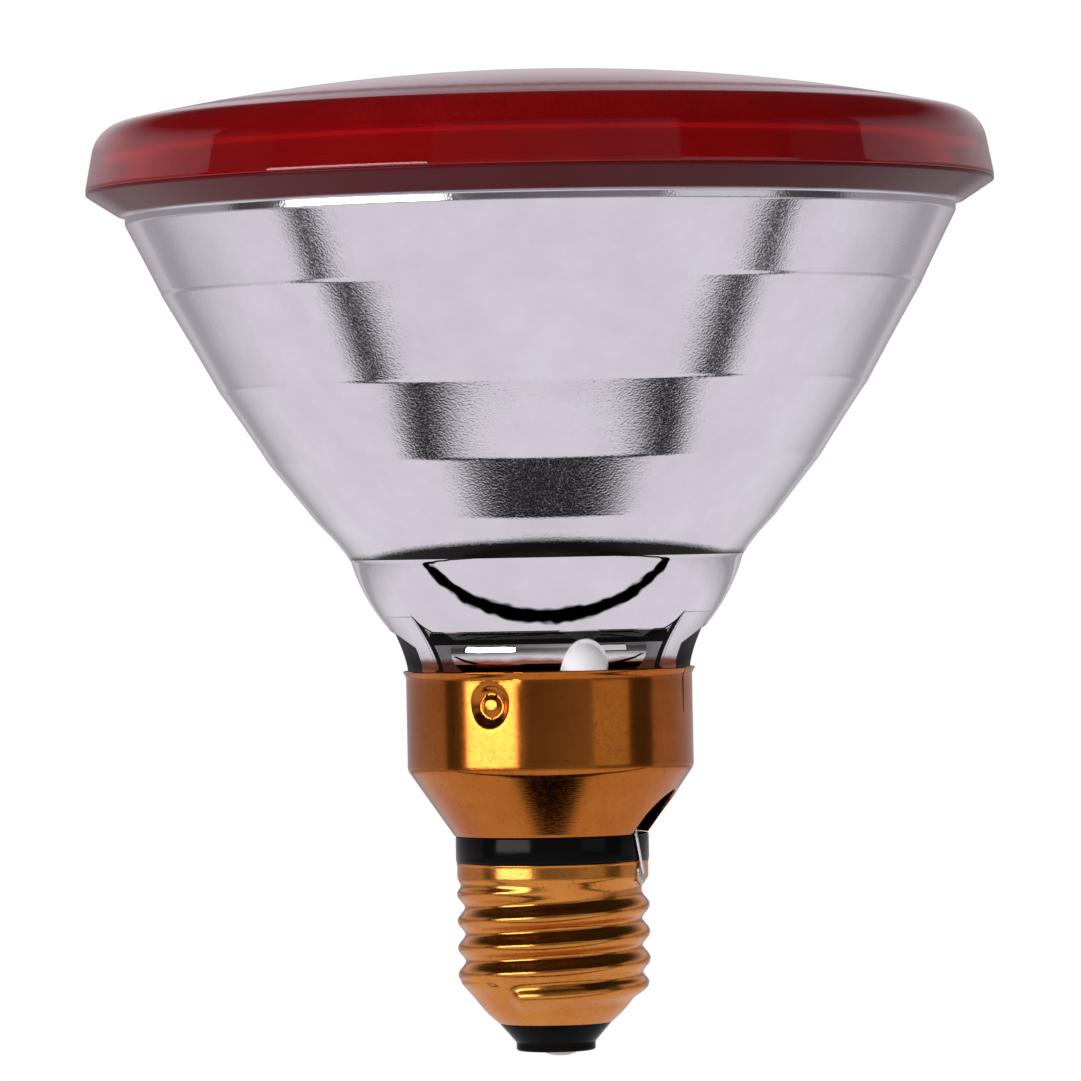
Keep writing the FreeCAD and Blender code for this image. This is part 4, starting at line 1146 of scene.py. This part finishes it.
def wallStrength(place, start, end, startGlow, endGlow):
    # brighter near the table and over the lens, and fading into the dark roof
    axes = splitAxes(place)
    left, right = (sin(radians(azimuth)) * stage["wallDistance"] for azimuth in (start, end))
    along = addRange(axes["X"], left, right, startGlow, endGlow)
    return times(along, *(addRange(axes["Z"], *gain) for gain in stage["wallGains"]))


def tableStrength(place):
    # fades away from the lamp
    away = addNode(place.id_data, "ShaderNodeVectorMath", {0: place}, operation="LENGTH")
    return addRange(away.outputs["Value"], *stage["tableFade"])


def gapStrength(place):
    # a dark strip with soft edges
    away = addMath("ABSOLUTE", minus(splitAxes(place)["Y"], stage["gapMiddle"]))
    return addRange(away, stage["gapCore"], stage["gapReach"])


def makeLevelCard(name, xHalf, yLow, yHigh, level, material, glossOnly=True):
    corners = [(-xHalf, yLow, level), (xHalf, yLow, level), (xHalf, yHigh, level), (-xHalf, yHigh, level)]
    makeStagePiece(name, corners, [(0, 1, 2, 3)], material, glossOnly)


def makeFloor():
    material, tree, shader = newMaterial("paleFloor")
    mottle = addRange(addNoise(objectPlace(tree), stage["mottle"], 5.0), *stage["mottleSpan"])
    colour = addMix(mottle, stage["floorColour"], stage["floorShade"])
    feed(shader, {"Base Color": colour, "Roughness": stage["floorRough"]})
    half = stage["floorHalf"]
    makeLevelCard("floor", half, -half, half, stage["floorLevel"], material, glossOnly=False)


def makeSurroundings():
    far = stage["wallDistance"] * stage["cardReach"]
    table = makeGlow("tableGlow", stage["tableGlow"], tableStrength)
    makeLevelCard("tableGlow", far, -far, far, stage["tableLevel"], table)
    front, back = (stage["gapMiddle"] + side * stage["gapReach"] for side in (-1, 1))
    gap = makeGlow("tableGap", stage["tableGlow"], gapStrength)
    makeLevelCard("tableGap", stage["gapHalf"], front, back, stage["gapLevel"], gap)
    roof = makeGlow("roof", (stage["roofGlow"],) * 3)
    makeLevelCard("roof", far, -far, far, stage["wallHead"], roof)
    for index, wall in enumerate(stage["walls"]):
        start, end = wall[:2]
        count = max(2, ceil((end - start) / stage["wallStep"]))
        corners = []
        for azimuth in evenSteps(start, end, count):
            foot = outAndAside(azimuth)[0] * stage["wallDistance"]
            corners += [(foot.x, foot.y, stage[level]) for level in ("wallFoot", "wallHead")]
        faces = [(2 * step, 2 * step + 2, 2 * step + 3, 2 * step + 1) for step in range(count)]
        name = "wall" + str(index)
        glow = makeGlow(name, stage["wallTint"], lambda place: wallStrength(place, *wall))
        makeStagePiece(name, corners, faces, glow)


def makeWorld():
    world = bpy.data.worlds.new("studio")
    bpy.context.scene.world = world
    world.use_nodes = True
    tree = world.node_tree
    path = addNode(tree, "ShaderNodeLightPath").outputs
    rays = ("Is Camera Ray", "Is Glossy Ray", "Is Transmission Ray")
    seen = addAll("MAXIMUM", [path[ray] for ray in rays])
    feed(tree.nodes["Background"], {
        "Color": (1, 1, 1), "Strength": addRange(seen, 0.0, 1.0, stage["fill"], 1.0),
    })


def makeSoftbox(name, box):
    start, end = box["azimuths"]
    foot, head = box["heights"]
    data = bpy.data.lights.new(name, "AREA")
    data.shape = "RECTANGLE"
    data.size = 2 * box["distance"] * tan(radians(end - start) / 2)
    data.size_y = head - foot
    data.energy = box["radiance"] * pi * data.size * data.size_y
    lamp = addObject(name, data)
    out = outAndAside((start + end) / 2)[0]
    lamp.location = out * box["distance"] + Vector((0, 0, (foot + head) / 2))
    lamp.rotation_euler = (-out).to_track_quat("-Z", "Y").to_euler()
    lamp.visible_camera = False


def makeCamera():
    data = bpy.data.cameras.new("camera")
    data.sensor_width = camera["sensor"]
    data.lens = camera["sensor"] * camera["focus"] / camera["image"]
    eye = addObject("camera", data)
    eye.location = (camera["aside"], -camera["distance"], camera["height"])
    eye.rotation_euler = (radians(90), radians(camera["roll"]), 0)
    bpy.context.scene.camera = eye


makeFloor()
makeSurroundings()
makeWorld()
makeSoftbox("keyBox", keyBox)
makeSoftbox("fillBox", fillBox)
makeCamera()
bpy.context.scene.view_settings.view_transform = "Standard"
print("stage set")
